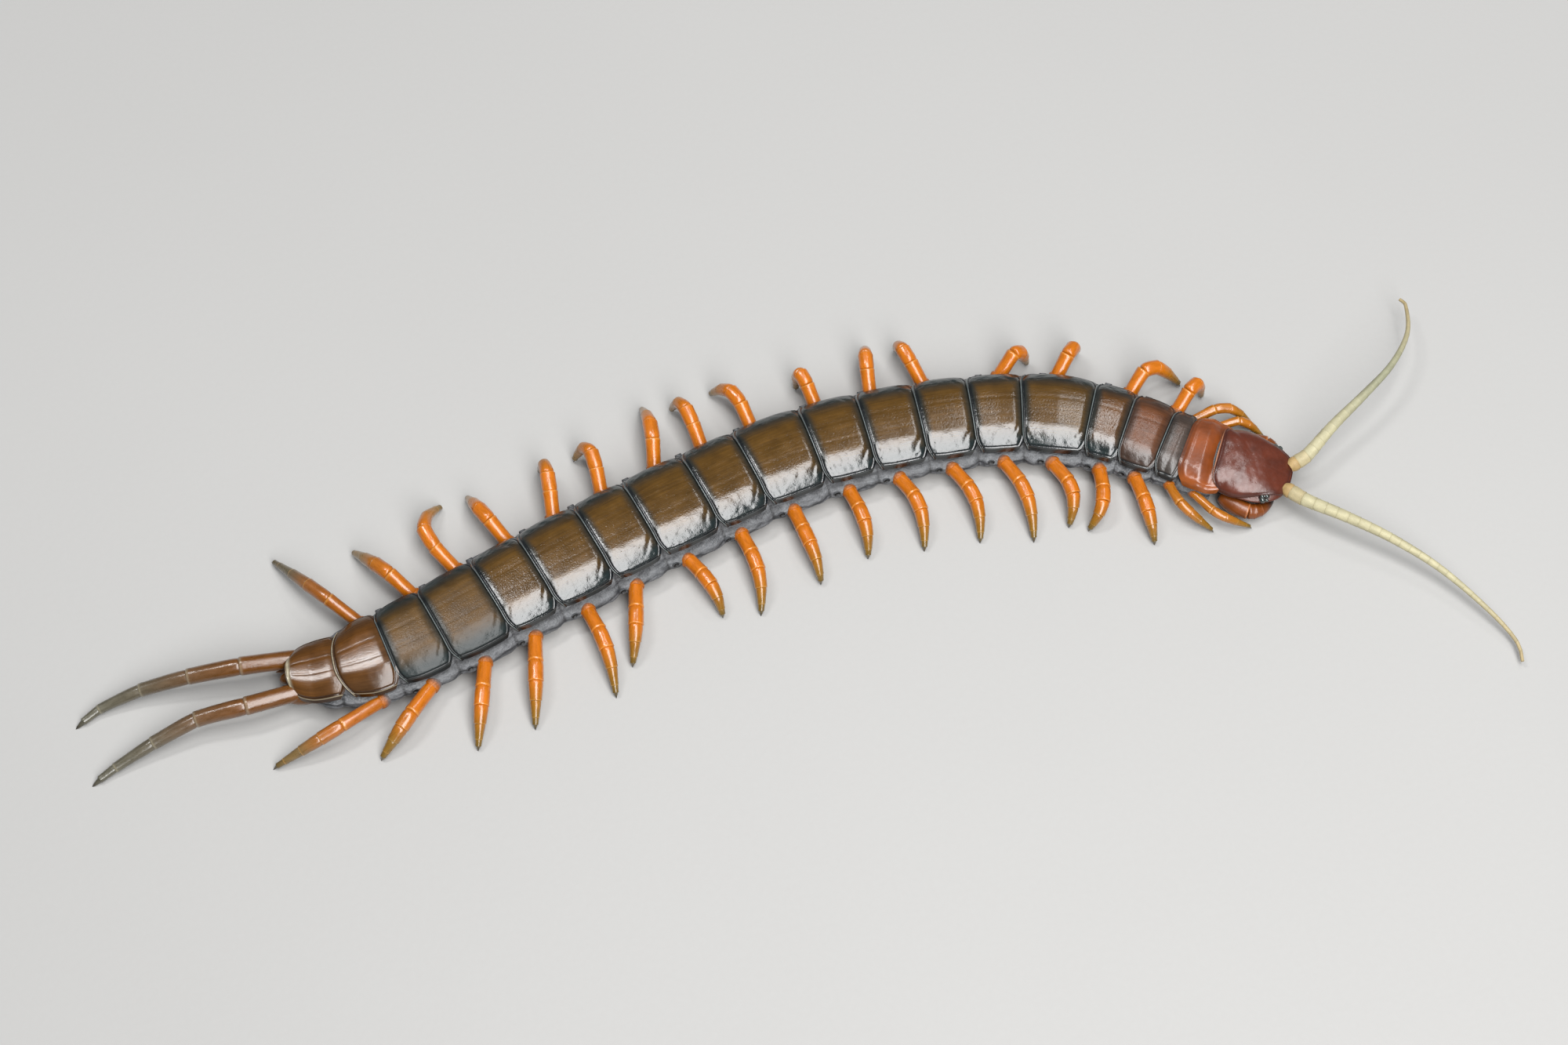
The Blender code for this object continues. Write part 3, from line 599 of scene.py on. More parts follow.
def plate_relief(number, spot, half, side_mm, front_mm, rear_mm):
    """Beads and grooves along the edges of a back plate, and its wrinkles, seams and dents."""
    out = np.abs(spot[..., 1])
    if number == 1:
        relief = 0.12 * bell(np.minimum(side_mm - 0.9, rear_mm), 1.0, 0.32) - 0.08 * bell(front_mm, 2.4, 0.5)
    else:
        edge_mm = np.minimum(side_mm, np.where(out > 0.5 * half, front_mm + 0.5, 9.0))
        relief = 0.11 * bell(rear_mm, 0.18, 0.13) - 0.09 * bell(rear_mm, 0.54, 0.15)
        relief -= 0.09 * bell(edge_mm, 1.2, 0.15)
    inner = smooth(side_mm, 1.3, 2.0) * smooth(front_mm, 0.6, 1.8) * smooth(rear_mm, 0.7, 1.3)
    seam = 0.03 * bell(out, 0.22 * half, 0.2) * (number > 2)
    wrinkles = 0.022 * waves(spot, 1.3, 40 + number) + 0.016 * waves(spot, 0.5, 120 + number)
    wrinkles = wrinkles * smooth(out / half, 0.44, 0.62) * (1.0 if number < 18 else 0.25)
    relief += inner * (wrinkles + 0.003 * waves(spot, 3.2, 80 + number) - seam)
    if PLATES[number - 1][0] > 8.5 and number < 18:
        slant = out - 0.64 * half - 1.6 * (front_mm - 1.9)
        relief -= 0.11 * inner * bell(out, 0.64 * half, 0.14 * half) * bell(slant, 0, 0.7)
    return relief


def closed_shell(upper, lower, tint, under, flow):
    """Rings round an upper and a lower sheet, with their colours and grain places."""
    pairs = (upper, lower), (tint, under), (flow, flow)
    return [np.concatenate([over, below[:, ::-1]], axis=1) for over, below in pairs]


def back_plate(number):
    """Closed shell of one back plate, as rings from its front to its rear."""
    middle = MIDDLES[number - 1]
    half = plate_half(middle, number)
    top, rim = plate_top(middle, number)
    run = run_along(stack(COLUMNS * half, dome_share(COLUMNS) * (top - rim)))
    front, rear = plate_span(number, half)
    s = front + (rear - front) * edge_spacing(ALONG, 0.65)[:, None]
    half = plate_half(s, number)
    top, rim = plate_top(s, number)
    u = half * COLUMNS
    z = rim + (top - rim) * dome_share(COLUMNS)
    side_mm = np.minimum(run, run[-1] - run) + 0 * s
    front_mm, rear_mm = s - front, rear - s
    du, dz = np.gradient(u, axis=1), np.gradient(z, axis=1)
    size = np.hypot(du, dz)
    out_u, out_z = dz / size, -du / size
    spot = stack(s, u, z + 9.0 * number)
    relief = plate_relief(number, spot, half, side_mm, front_mm, rear_mm)
    shell = SHELL * (0.35 + 0.65 * smooth(np.minimum(side_mm, rear_mm), 0.0, 0.5))
    upper = place(s, u + out_u * relief, z + out_z * relief)
    lower = place(s, u - out_u * shell, z - out_z * shell)
    tint = plate_tint(number, side_mm, front_mm, rear_mm)
    under = np.broadcast_to(mix(TEAL, BELLY_TAN, 0.5), tint.shape)
    flow = stack(s, run, 9.0 * number)
    return closed_shell(upper, lower, tint, under, flow)


def closed_curve_weights(count, corners):
    """Matrix that turns corner points into a smooth closed curve through them."""
    weights = np.zeros((count, corners))
    for row, t in enumerate(np.linspace(0, corners, count, endpoint=False)):
        i, f = int(t), t - int(t)
        parts = (-f + 2 * f ** 2 - f ** 3, 2 - 5 * f ** 2 + 3 * f ** 3, f + 4 * f ** 2 - 3 * f ** 3,
                 -f ** 2 + f ** 3)
        for k, part in enumerate(parts):
            weights[row, (i - 1 + k) % corners] += 0.5 * part
    return weights


def smooth_sections(s, right, crown, floor, count):
    """Rings of places round corners given for the right side, top and bottom middle, at stations s."""
    corners = [(0, crown)] + [(-u, z) for u, z in right] + [(0, floor)] + right[::-1]
    flat = np.broadcast_arrays(*[part for corner in corners for part in corner])
    grid = np.stack([np.stack(pair, axis=-1) for pair in zip(flat[::2], flat[1::2])], axis=1)
    ring = np.einsum("kc,scx->skx", closed_curve_weights(count, len(corners)), grid)
    return stack(s[:, None], ring[..., 0], ring[..., 1])


def segment_share(s):
    """Share along its body segment of each station s."""
    number = np.clip(np.searchsorted(PLATE_ENDS, s, side="right") - 1, 0, 18)
    return (s - PLATE_ENDS[number]) / (PLATE_ENDS[number + 1] - PLATE_ENDS[number])


def body_skin():
    """The soft body inside the plates, with its folded flanks and belly."""
    s = np.arange(0.4, TAIL_END - 0.6, 0.17)
    share = segment_share(s)
    width = body_width(s)
    crown = BELLY + HEIGHT_SHARE * width
    tail = smooth(s, TAIL_END - 7.5, TAIL_END)
    half = width / 2 * (0.90 - 0.35 * tail)
    pinch = 0.45 * (bell(share, 0.0, 0.10) + bell(share, 1.0, 0.10))
    flank = width / 2 + flank_out(s) - pinch - 2.8 * tail
    rim = RIM_HEIGHT * crown
    right = [(half * 0.55, crown - 1.5), (half - 0.9, rim + 0.2), (half - 0.1, rim - 0.5),
             (flank - 0.15, 3.9), (flank, 2.8), (flank - 1.3, 1.5), (0.62 * half, 1.0), (0.3 * half, BELLY)]
    spot = smooth_sections(s, right, crown - 1.2, BELLY, 144)
    along, u, z = np.moveaxis(spot, -1, 0)
    side = smooth(np.abs(u), 0.62 * half[:, None], 0.9 * half[:, None])
    stretched = spot * np.array([1.0, 1.5, 1.5])
    fold = 0.04 * waves(stretched, 1.5, 5) + 0.03 * waves(stretched, 0.6, 6)
    crease = -0.12 * bell(z, 3.5 + 0.25 * np.sin(along * 0.9), 0.18) - 0.12 * bell(z, 4.7, 0.2)
    ripple = np.where(z < 2.0, 0.5, 1.0) * (fold + crease) * side
    pushed = u + np.sign(u) * ripple
    # Painted shade: the flank is darker wherever its folds and creases sink in.
    tint = mix(FLANK_DARK, FLANK_GREY, smooth(ripple, -0.12, 0.0))
    border = np.minimum(share, 1 - share)[:, None] * np.ones_like(z)
    tint = mix(tint, FLANK_DARK * 0.5, 0.8 * (1 - smooth(border, 0.012, 0.04)))
    tint = mix(tint, BELLY_TAN * 0.8, 1 - smooth(z, 0.95, 1.8))
    return place(along, pushed, np.maximum(z, 0.55)), tint, spot


def belly_plate(number):
    """A flat rounded plate under the body."""
    start, end = PLATE_ENDS[number - 1], PLATE_ENDS[number]
    half = 0.31 * PLATES[number - 1][1] * (1.0 if number < 19 else 0.75)
    c = np.linspace(1, -1, 33)
    corner = 0.9 * np.abs(c) ** 8
    share = edge_spacing(24, 0.5)[:, None]
    s = start + 0.35 + corner + (end - start - 0.6 - 1.6 * corner) * share
    taper = 1 - (0.10 if number < 19 else 0.35) * share
    u = half * taper * c
    edge = np.minimum(np.minimum(share, 1 - share) * (end - start), (1 - np.abs(c)) * half)
    suture = 0.10 * bell(np.abs(u), 0.42 * half, 0.16) * smooth(edge, 0.2, 1.0)
    round_off = 0.28 * (1 - smooth(edge, 0.0, 0.5))
    lower = place(s, u, 0.66 + 0.28 * c ** 2 + suture + round_off)
    upper = place(s, u, 1.05 + 0.25 * c ** 2)
    tint = mix(BELLY_TAN, BELLY_TAN * 0.5, np.maximum(1 - smooth(edge, 0.1, 0.5), suture * 6))
    flow = stack(s, u, 7.0 * number)
    return closed_shell(upper, lower, tint, tint, flow)


def tube_rings(path, radii, across, sides=24, flat=1.0):
    """Rings round a path. across is a direction roughly square to it."""
    ahead = unit(np.gradient(path, axis=0))
    side = unit(across - (ahead @ across)[:, None] * ahead)
    lift = np.cross(ahead, side)
    angle = circle(sides)[None, :, None]
    reach = np.cos(angle) * side[:, None] + flat * np.sin(angle) * lift[:, None]
    return path[:, None] + np.asarray(radii)[:, None, None] * reach


def add_tube(skin, path, radii, across, tint, number, sides=24):
    """A tube whose grain runs along and round it; number keeps its grain apart from the others'."""
    round_mm = radii[:, None] * np.abs(circle(sides) - math.pi)
    flow = stack(run_along(path)[:, None], round_mm, 5.0 * number)
    skin.add(tube_rings(path, radii, across, sides), tint, flow)


# Share along an article and share of its radius there, from its narrow root to its lipped end
ARTICLE = [(0.0, 0.60), (0.01, 0.80), (0.04, 0.90), (0.10, 0.96), (0.20, 1.0), (0.35, 1.01), (0.50, 1.0),
           (0.65, 1.0), (0.80, 1.01), (0.88, 1.02), (0.93, 1.04), (0.965, 1.05), (0.985, 1.01),
           (0.997, 0.92), (1.0, 0.70)]
ARTICLE_AT, ARTICLE_RADIUS = np.array(ARTICLE).T


def article(skin, curve, radius_at, first, last, tints, lip, across, number, sides=24, overlap=0.02):
    """One article of a jointed limb, between two shares of a curve, with its first and last colours."""
    spots = np.array([curve(first - overlap + (last - first + overlap) * t) for t in ARTICLE_AT])
    straight = spots[0] + (spots[-1] - spots[0]) * ARTICLE_AT[:, None]
    path = 0.55 * straight + 0.45 * spots
    radii = np.array([radius_at(first + (last - first) * t) for t in ARTICLE_AT]) * ARTICLE_RADIUS
    ring = np.maximum(bell(ARTICLE_AT, 0.968, 0.022), 0.6 * bell(ARTICLE_AT, 0.0, 0.02))
    colours = mix(mix(tints[0], tints[1], ARTICLE_AT), lip, 0.6 * ring)[:, None]
    add_tube(skin, path, radii, across, colours, number, sides)


def spike(skin, base, direction, length, radius, tint):
    """A small sharp spine."""
    shares = np.array([-0.4, 0.0, 0.35, 0.7, 1.0])
    path = base + np.outer(shares * length, unit(direction))
    across = np.cross(direction, UP + 0.01)
    skin.add(tube_rings(path, radius * np.array([1.0, 0.95, 0.7, 0.38, 0.04]), across, 8), tint)


def curve_through(points):
    """A function of the share of length along a smooth curve through points."""
    pts = np.asarray(points, float)
    padded = np.vstack([2 * pts[0] - pts[1], pts, 2 * pts[-1] - pts[-2]])
    t = np.linspace(0, 1, 20, endpoint=False)[:, None]
    fine = []
    for p0, p1, p2, p3 in zip(padded, padded[1:], padded[2:], padded[3:]):
        fine.append(0.5 * (2 * p1 + (p2 - p0) * t + (2 * p0 - 5 * p1 + 4 * p2 - p3) * t ** 2
                           + (3 * p1 - p0 - 3 * p2 + p3) * t ** 3))
    return along_line(np.vstack(fine + [pts[-1:]]))


def along_line(fine):
    """A function of the share of length along a line, which goes straight on past its ends."""
    run = run_along(fine)

    def at(share):
        d = share * run[-1]
        if share < 0:
            return fine[0] + unit(fine[0] - fine[1]) * -d
        return stack(*(np.interp(d, run, column) for column in fine.T))
    return at


def radius_along(rings, radius):
    """A function of the share of a limb's length that gives its radius there."""
    shares, sizes = zip(*rings)
    return lambda share: radius * float(np.interp(share, shares, sizes))


def limb(skin, curve, radius_at, joints, colour_at, ring, across, numbers, inside):
    """The articles of a leg, with a pale ring at each joint, the first one set back into the body."""
    ring_tint, ring_share = ring
    for k, (first, last) in enumerate(zip(joints, joints[1:])):
        tints = colour_at(first), colour_at(last)
        lip = tints[1] if k == len(joints) - 2 else mix(tints[1], ring_tint, ring_share)
        overlap = 0.02 if k else inside
        article(skin, curve, radius_at, first, last, tints, lip, across, numbers[k], overlap=overlap)


def end_claw(skin, curve, tip, shares, radii, tint, dark_by, across, sides):
    """The dark claw of a leg, from inside its last article to its tip."""
    base = curve(CLAW_START)
    darker = mix(tint, CLAW_DARK, smooth(np.linspace(0, 1, len(radii)), 0.3, dark_by))[:, None]
    skin.add(tube_rings(base + np.outer(shares, tip - base), radii, across, sides), darker)


def leg_radius(number):
    return LEG_RADIUS * LEG_GIRTH.get(number, 1.0) * (0.8 + 0.2 * PLATES[number - 1][1] / 16.5)


def leg_frame(side, number):
    """Root, knee and foot of a walking leg, its first direction, and how deep its root is in the flank."""
    root_share, knee_forward, knee_out, foot_forward, foot_out = LEGS[side][number - 1]
    length, width, _ = PLATES[number - 1]
    s = PLATE_ENDS[number - 1] + root_share * length
    forward, leftward = axes(s)
    outward = leftward * SIDES[side]
    edge = place(s, SIDES[side] * width / 2, 0)
    bulge = FLANK_OUT * FLANK_SHARE.get(number, 1.0)
    root = edge + outward * (bulge - ROOT_SUNK) + UP * ROOT_HEIGHT
    knee = edge + forward * knee_forward + outward * knee_out
    knee = knee + UP * LOW_KNEES[side].get(number, KNEE_HEIGHTS[side])
    foot = edge + forward * foot_forward + outward * foot_out
    direction = unit(knee - root)
    slant = min(0.9, math.sqrt(max(0.0, 1 - float(direction @ outward) ** 2)))
    deep = (0.75 + leg_radius(number) * slant) / math.sqrt(1 - slant ** 2)
    return root, knee, foot, direction, deep


def bezier(a, b, c, d, t):
    return a * (1 - t) ** 3 + b * 3 * (1 - t) ** 2 * t + c * 3 * (1 - t) * t ** 2 + d * t ** 3


def leg_colour(side, number, share):
    """Colour of a walking leg at a share of its length."""
    tone = FRONT_AMBER if number <= 2 else LEG_ORANGE
    far = LEG_OLIVE
    turn = smooth(share, 0.50, 0.80)
    if number >= 17:
        grey = {("right", 17): 0.1, ("left", 17): 0.25, ("right", 18): 0.5}.get((side, number), 0.85)
        tone = mix(LEG_ORANGE, TAIL_LEG, 0.7 * grey)
        far = mix(LEG_OLIVE, TAIL_LEG_GREY, grey)
        turn = smooth(share, 0.38, 0.58)
    return mix(mix(tone, far, turn), LEG_TIP * (0.7 if number == 18 else 1.0), smooth(share, 0.84, 1.0))


def walking_leg(side, number, material):
    """One of the legs that the animal stands on."""
    root, knee, foot, direction, deep = leg_frame(side, number)
    start = root + direction * (deep + GAP)
    ankle = foot + UP * FOOT_DROP
    pull_in = start + (knee - start) * KNEE_PULL
    pull_out = ankle + (knee - ankle) * KNEE_PULL
    line = np.array([bezier(start, pull_in, pull_out, ankle, t) for t in np.linspace(0, 1, 80)])
    curve = along_line(line)
    radius = leg_radius(number)
    radius_at = radius_along(LEG_RINGS, radius)
    across = unit(np.cross(foot - root, UP))
    inside = (deep + GAP + 1.1) / run_along(line)[-1]
    numbers = [number + 20 * k + SIDES[side] for k in range(5)]

    def colour_at(share):
        return leg_colour(side, number, share)

    skin = Skin()
    limb(skin, curve, radius_at, LEG_JOINTS, colour_at, (LEG_PALE, 0.55), across, numbers, inside)
    claw = np.linspace(0, 1, len(LEG_CLAW)), radius * np.array(LEG_CLAW)
    end_claw(skin, curve, foot + UP * 0.03, *claw, colour_at(1.0), 0.9, across, 12)
    heading = unit((foot - root) * np.array([1, 1, 0]))
    joint = curve(LEG_JOINTS[3] - 0.01)
    spike(skin, joint - UP * radius_at(LEG_JOINTS[3]) * 0.8, heading * 0.8 - UP, 0.6, 0.15, CLAW_DARK)
    skin.build(f"leg_{side}_{number:02d}_looks", material, "leg", f"leg_{side}_{number:02d}")


def trailing_leg(side, material):
    """One of the last pair, which trails behind and has spines on its inner side."""
    end = place(TAIL_END, 0, 0)
    root = place(TAIL_END - 0.5, SIDES[side] * TRAILING_ROOT[0], TRAILING_ROOT[1])
    points = [end + np.array(row) for row in TRAILING[side]]
    direction = unit(points[0] - root)
    foot = end + np.array([*TRAILING_TIPS[side], 0])
    curve = curve_through([root + direction * (2.0 + GAP)] + points + [foot + UP * FOOT_DROP])
    radius_at = radius_along(TRAILING_RINGS, TRAILING_RADIUS)
    across = unit(np.cross(foot - root, UP))
    numbers = [70 + k + SIDES[side] for k in range(5)]

    def colour_at(share):
        return mix(TAIL_LEG, TAIL_LEG_GREY, smooth(share, 0.15, 0.8))

    skin = Skin()
    limb(skin, curve, radius_at, TRAILING_JOINTS, colour_at, (TAIL_RIM, 0.6), across, numbers, 0.13)
    inward = np.cross(direction, UP) * SIDES[side]
    for share, turn, size in TRAILING_SPINES:
        out = unit(inward * math.cos(turn) + UP * math.sin(turn))
        spot = curve(share) + out * radius_at(share) * 0.85
        spike(skin, spot, out + direction, size, 0.18, TAIL_LEG * 0.4)
    shares, radii = np.array(TRAILING_CLAW).T
    end_claw(skin, curve, foot + UP * 0.06, shares, radii, TAIL_LEG_GREY * 0.8, 1.0, across, 16)
    skin.build(f"leg_{side}_19_looks", material, "trailing_leg", f"leg_{side}_19")


def feeler(side, material):
    """One feeler, with its collar at the head and its many short articles."""
    out, height = FEELER_ROOT
    root = place(-HEAD_LENGTH + 1.0, SIDES[side] * out, height)
    rows = [on_plan(*row) for row in FEELERS[side]]
    direction = unit(rows[0] - root)
    curve = curve_through([root + direction * (1.5 + GAP)] + rows)
    across = unit(np.cross(curve(1.0) - curve(0.0), UP))

    def radius_at(share):
        taper = (1 - min(share, 1)) ** 1.15
        return FEELER_TIP + (FEELER_RADIUS - FEELER_TIP) * taper + 0.16 * math.exp(-share / 0.07)

    skin = Skin()
    radii = np.array([0.8, 1.08, 1.12, 0.95]) * FEELER_RADIUS
    base_tint = mix(FEELER_AMBER, FEELER_CREAM, 0.35)
    add_tube(skin, root + np.outer([0.2, 0.9, 1.5, 1.95], direction), radii, across, base_tint, 90)
    joints = np.linspace(0, 0.998, FEELER_ARTICLES + 1) ** 0.93
    for k, (first, last) in enumerate(zip(joints, joints[1:])):
        tint = mix(FEELER_AMBER, FEELER_CREAM, smooth(k, -2.5, 1.0))
        if side == "left":
            tint = mix(tint, FEELER_GREEN, 0.8 * bell(first, 0.5, 0.25))
        tint = mix(tint, FEELER_AMBER * 0.75, 0.45 * smooth(first, 0.6, 1.0))
        article(skin, curve, radius_at, first, last, (tint, tint), tint * 0.66, across, 100 + k, sides=20,
                overlap=0.004)
    skin.build(f"antenna_{side}_looks", material, "antenna", f"antenna_{side}")


def head_half(f):
    """Half width of the head at shares f of its length from the neck."""
    wide = 0.36
    back = 1 - 0.10 * np.clip((wide - f) / wide, 0, 1) ** 2
    ahead = (1 - np.clip((f - wide) / (1 - wide), 0, 1) ** 2.6 * 0.999) ** (1 / 2.3)
    return HEAD_WIDTH / 2 * np.where(f < wide, back, ahead)


def head_outline():
    """Closed outline of the head plate in (f, u), counter-clockwise from the middle of its rear."""
    rear_half = head_half(0.0)
    corner = 1.8
    turn = np.linspace(0, 1, 12)[:-1]
    across = turn * (rear_half - corner)
    rear = stack(-0.078 + 0.02 * (across / rear_half) ** 2, across)
    rounding = stack(-0.065 + 0.135 * (1 - np.cos(turn * math.pi / 2)),
                     rear_half - corner + corner * np.sin(turn * math.pi / 2))
    f = np.concatenate([np.linspace(0.08, 0.9, 60), 1 - 0.1 * (1 - np.linspace(0, 1, 40)[1:]) ** 2])
    side = stack(f, head_half(f) * (1 - eye_notch(f)))
    half = np.vstack([rear, rounding, side])
    closed = np.vstack([half, half[::-1][1:] * np.array([1, -1])])
    run = run_along(closed * np.array([HEAD_LENGTH, 1.0]))
    want = np.linspace(0, run[-1], HEAD_SPOKES, endpoint=False)
    return stack(*(np.interp(want, run, column) for column in closed.T))


def eye_notch(f):
    """Share by which the plate is narrower beside the eyes."""
    return 0.19 * smooth(f, 0.22, 0.74) * (1 - smooth(f, 0.80, 1.0))


def head_plate(skin):
    """The domed plate on top of the head, with its fine rim."""
    outline = head_outline()
    centre = np.array([0.46, 0.0])
    reach = np.concatenate([[0.004], np.sin(edge_spacing(60, 0.3)[1:] * math.pi / 2) ** 0.9])
    flat = centre + (outline - centre)[None] * reach[:, None, None]
    f, u = flat[..., 0], flat[..., 1]
    top = HEAD_TOP - 0.5 * f - 1.7 * np.clip(f, 0, 1) ** 3
    rear = smooth(-outline[:, 0], -0.10, 0.03)[None]
    rim = 4.85 - 0.25 * f + 4.2 * eye_notch(outline[:, 0])[None]
    over_neck = dome_share(outline[:, 1] / (head_half(0.0) + 0.3))[None]
    rim = rim + rear * over_neck * (top - 0.15 - rim)
    power = 2.3
    rise = (1 - np.minimum(reach, 1)[:, None] ** power) ** (1 / power)
    from_centre = np.linalg.norm((outline - centre) * np.array([HEAD_LENGTH, 1]), axis=1)
    edge_mm = (1 - reach)[:, None] * from_centre + rise * (top - rim)
    spot = stack(-f * HEAD_LENGTH, u, top)
    bead = 0.10 * bell(edge_mm, 0.16, 0.22) - 0.10 * bell(edge_mm, 0.70, 0.24)
    inner = smooth(edge_mm, 0.8, 2.0)
    sulcus = -0.06 * bell(u, 0, 0.16) * smooth(f, 0.55, 0.85)
    bump = inner * (0.045 * waves(spot, 2.4, 11) + 0.02 * waves(spot, 0.8, 12) + sulcus)
    z = rim + (top - rim) * rise + bead * (0.5 + 0.5 * rear) + bump
    upper = place(-f * HEAD_LENGTH, u, z)
    lower = place(-f * HEAD_LENGTH, u * 0.97, rim - 0.35 + (top - rim) * rise * 0.9)
    blotches = smooth(waves(spot, 3, 14), 0, 1)
    tint = mix(HEAD_RED, HEAD_DARK, np.clip(0.7 * (1 - smooth(edge_mm, 0.3, 2.2)) + 0.15 * blotches, 0, 1))
    # Painted highlight along the top of the rear rim's bead
    tint = mix(tint, HEAD_RIM_HIGHLIGHT, 0.85 * bell(edge_mm, 0.14, 0.12) * rear)
    rings = np.concatenate([upper, lower[::-1]])
    tints = np.concatenate([tint, np.broadcast_to(HEAD_DARK, tint.shape)])
    skin.add(rings, tints, np.concatenate([spot, spot[::-1]]))


def head_body(skin):
    """The body of the head under its plate, down to the mouth."""
    f = np.linspace(0.02, 0.985, 60)
    half = head_half(f) * 0.965
    rim = 4.8 - 0.25 * f
    under = HEAD_UNDER + 0.2 * f
    top = HEAD_TOP - 0.5 * f - 1.7 * f ** 3
    right = [(half * 0.55, top - 0.8), (half * 0.88, rim + 0.35), (half * 0.97, rim - 0.35),
             (half * 0.62, under + 0.05)]
    spot = smooth_sections(-f * HEAD_LENGTH, right, top - 0.7, under, 96)
    s, u, z = np.moveaxis(spot, -1, 0)
    z = z + 0.04 * waves(spot, 1.4, 21)
    tint = mix(HEAD_RED * 0.9, FRONT_AMBER * 0.8, smooth(-z, -4.2, -3.4))
    skin.add(place(s, u, z), tint, spot)


def rounded_lobe(skin, centre, ahead, across, sizes, tint):
    """A closed egg-shaped lobe with its own three half sizes."""
    length, width, height = sizes
    t = np.linspace(-1, 1, 18)
    size = np.sqrt(np.clip(1 - t ** 2, 0.0004, 1))
    path = centre + np.outer(t * length, unit(ahead))
    skin.add(tube_rings(path, size * width, across, 20, height / width), tint)


def eye(side, material):
    """Eye patch with its four beads."""
    forward, out, height = EYE
    ahead, leftward = axes(-forward)
    f, o, up = EYE_LOOKS
    looks = unit(ahead * f + leftward * (o * SIDES[side]) + UP * up)
    centre = place(-forward, SIDES[side] * out, height)
    side_way = unit(np.cross(UP, looks))
    up_way = np.cross(looks, side_way)
    skin = Skin()
    rounded_lobe(skin, centre + looks * 0.02, side_way, up_way, (1.12, 0.92, 0.45), HEAD_DARK * 0.6)
    for x, y, radius in OCELLI:
        spot = centre + looks * 0.34 + side_way * x + up_way * y
        rounded_lobe(skin, spot, looks, side_way, (radius, radius * 1.1, radius * 1.1), EYE_GREEN)
    skin.build(f"eye_{side}_looks", material, "eye", f"eye_{side}")


def off_neck(rows, side):
    """Points of rows that give the way forward of the neck, the way out and the height."""
    forward, out, height = np.array(rows)[:, :3].T
    return place(-forward, side * out, height)


def poison_claw(side, material):
    """Broad first article, two short ones and the hooked fang."""
    points = off_neck(CLAW_PATH, SIDES[side])
    curve = curve_through(points)
    sizes = [row[3] for row in CLAW_PATH]
    radius_at = radius_along(zip(np.linspace(0, 1, len(sizes)), sizes), 1.04)
    tints = FANG_BROWN, FANG_BROWN * 0.92
    skin = Skin()
    for k, (first, last) in enumerate([(0.0, 0.46), (0.46, 0.54), (0.54, 0.64)]):
        article(skin, curve, radius_at, first, last, tints, FANG_LIP, UP, 200 + k, 28)
    shares = np.linspace(0.61, 1.0, 22)
    radii = np.array([radius_at(t) for t in shares]) * np.linspace(1.0, 0.4, 22) ** 0.5
    radii[0] *= 0.75
    radii[-1] = 0.05
    tint = mix(FANG_BROWN * 0.9, FANG_DARK, smooth(shares, 0.66, 0.86))[:, None]
    add_tube(skin, np.array([curve(t) for t in shares]), radii, UP, tint, 203)
    inward = unit(points[-1] - points[4])
    spike(skin, curve(0.40) + inward * 0.9, inward, 0.6, 0.3, FANG_DARK)
    skin.build(f"forcipule_{side}_looks", material, "poison_claw", f"forcipule_{side}")


def claw_plate(material):
    """The plate under the head, with its middle groove and two toothed edges."""
    length, half, top = CLAW_PLATE
    share = np.linspace(0.0, 1.0, 40)
    width = half * np.interp(share, *zip(*CLAW_PLATE_OUTLINE))
    drop = np.interp(share, [0, 0.6, 1.0], [0.0, 0.1, 0.7])
    low = BELLY + 0.25 * smooth(share, 0.8, 1.0)
    right = [(width * 0.7, top - drop), (width, 2.2), (width * 0.86, low + 0.25), (width * 0.45, low + 0.02)]
    spot = smooth_sections(-share * length, right, top - drop, low, 96)
    s, u, z = np.moveaxis(spot, -1, 0)
    groove = 0.16 * bell(u, 0, 0.16) * (1 - smooth(z, 1.5, 2.5))
    skin = Skin()
    tint = mix(FANG_BROWN, FANG_BROWN * 0.4, groove * 5)
    skin.add(place(s, u, z + groove + 0.03 * waves(spot, 1.2, 31)), tint, spot)
    ahead, leftward = axes(-length)
    for side in SIDES.values():
        base = place(-length + 0.2, side * 0.95, 1.9)
        rounded_lobe(skin, base, ahead, leftward, (0.95, 0.85, 0.45), FANG_BROWN * 0.8)
        for k in range(5):
            tooth = base + ahead * 0.72 + leftward * (side * (k - 2) * 0.27) - UP * 0.02
            spike(skin, tooth, ahead + leftward * side * 0.1 * (k - 2), 0.42, 0.14, FANG_DARK)
    skin.build("forcipule_plate_looks", material, "head_shell", "forcipule_plate")


def mouthparts(skin):
    """Lip, jaws and the two palps under the front of the head."""
    ahead, leftward = axes(-9)
    rounded_lobe(skin, place(-9.6, 0, 3.1), ahead, leftward, (1.5, 1.5, 0.6), FRONT_AMBER * 0.7)
    for side in SIDES.values():
        jaw = place(-8.2, side * 1.3, 2.9)
        rounded_lobe(skin, jaw, ahead, leftward, (1.6, 0.9, 0.55), FRONT_AMBER * 0.8)
        curve = curve_through(off_neck(PALP, side))
        for k, (first, last) in enumerate([(0.0, 0.4), (0.4, 0.7), (0.7, 1.0)]):
            article(skin, curve, lambda share: 0.62 - 0.3 * share, first, last, (FRONT_AMBER, FRONT_AMBER),
                    LEG_PALE, UP, 220 + k, 16)


def sockets(skin):
    """Soft collars of the flank round the leg roots."""
    along, girth = np.array(SOCKET).T
    tint = mix(FLANK_GREY, LEG_ORANGE * 0.8, np.array([0, 0.15, 0.8, 1, 1, 1]))[:, None]
    for side in SIDES:
        for number in range(1, 19):
            root, _, _, direction, _ = leg_frame(side, number)
            path = root + np.outer(along, direction)
            rings = tube_rings(path, leg_radius(number) * girth, UP)
            rings = rings + unit(rings - path[:, None]) * 0.07 * waves(rings, 1.2, 300)[..., None]
            skin.add(rings, tint, rings)


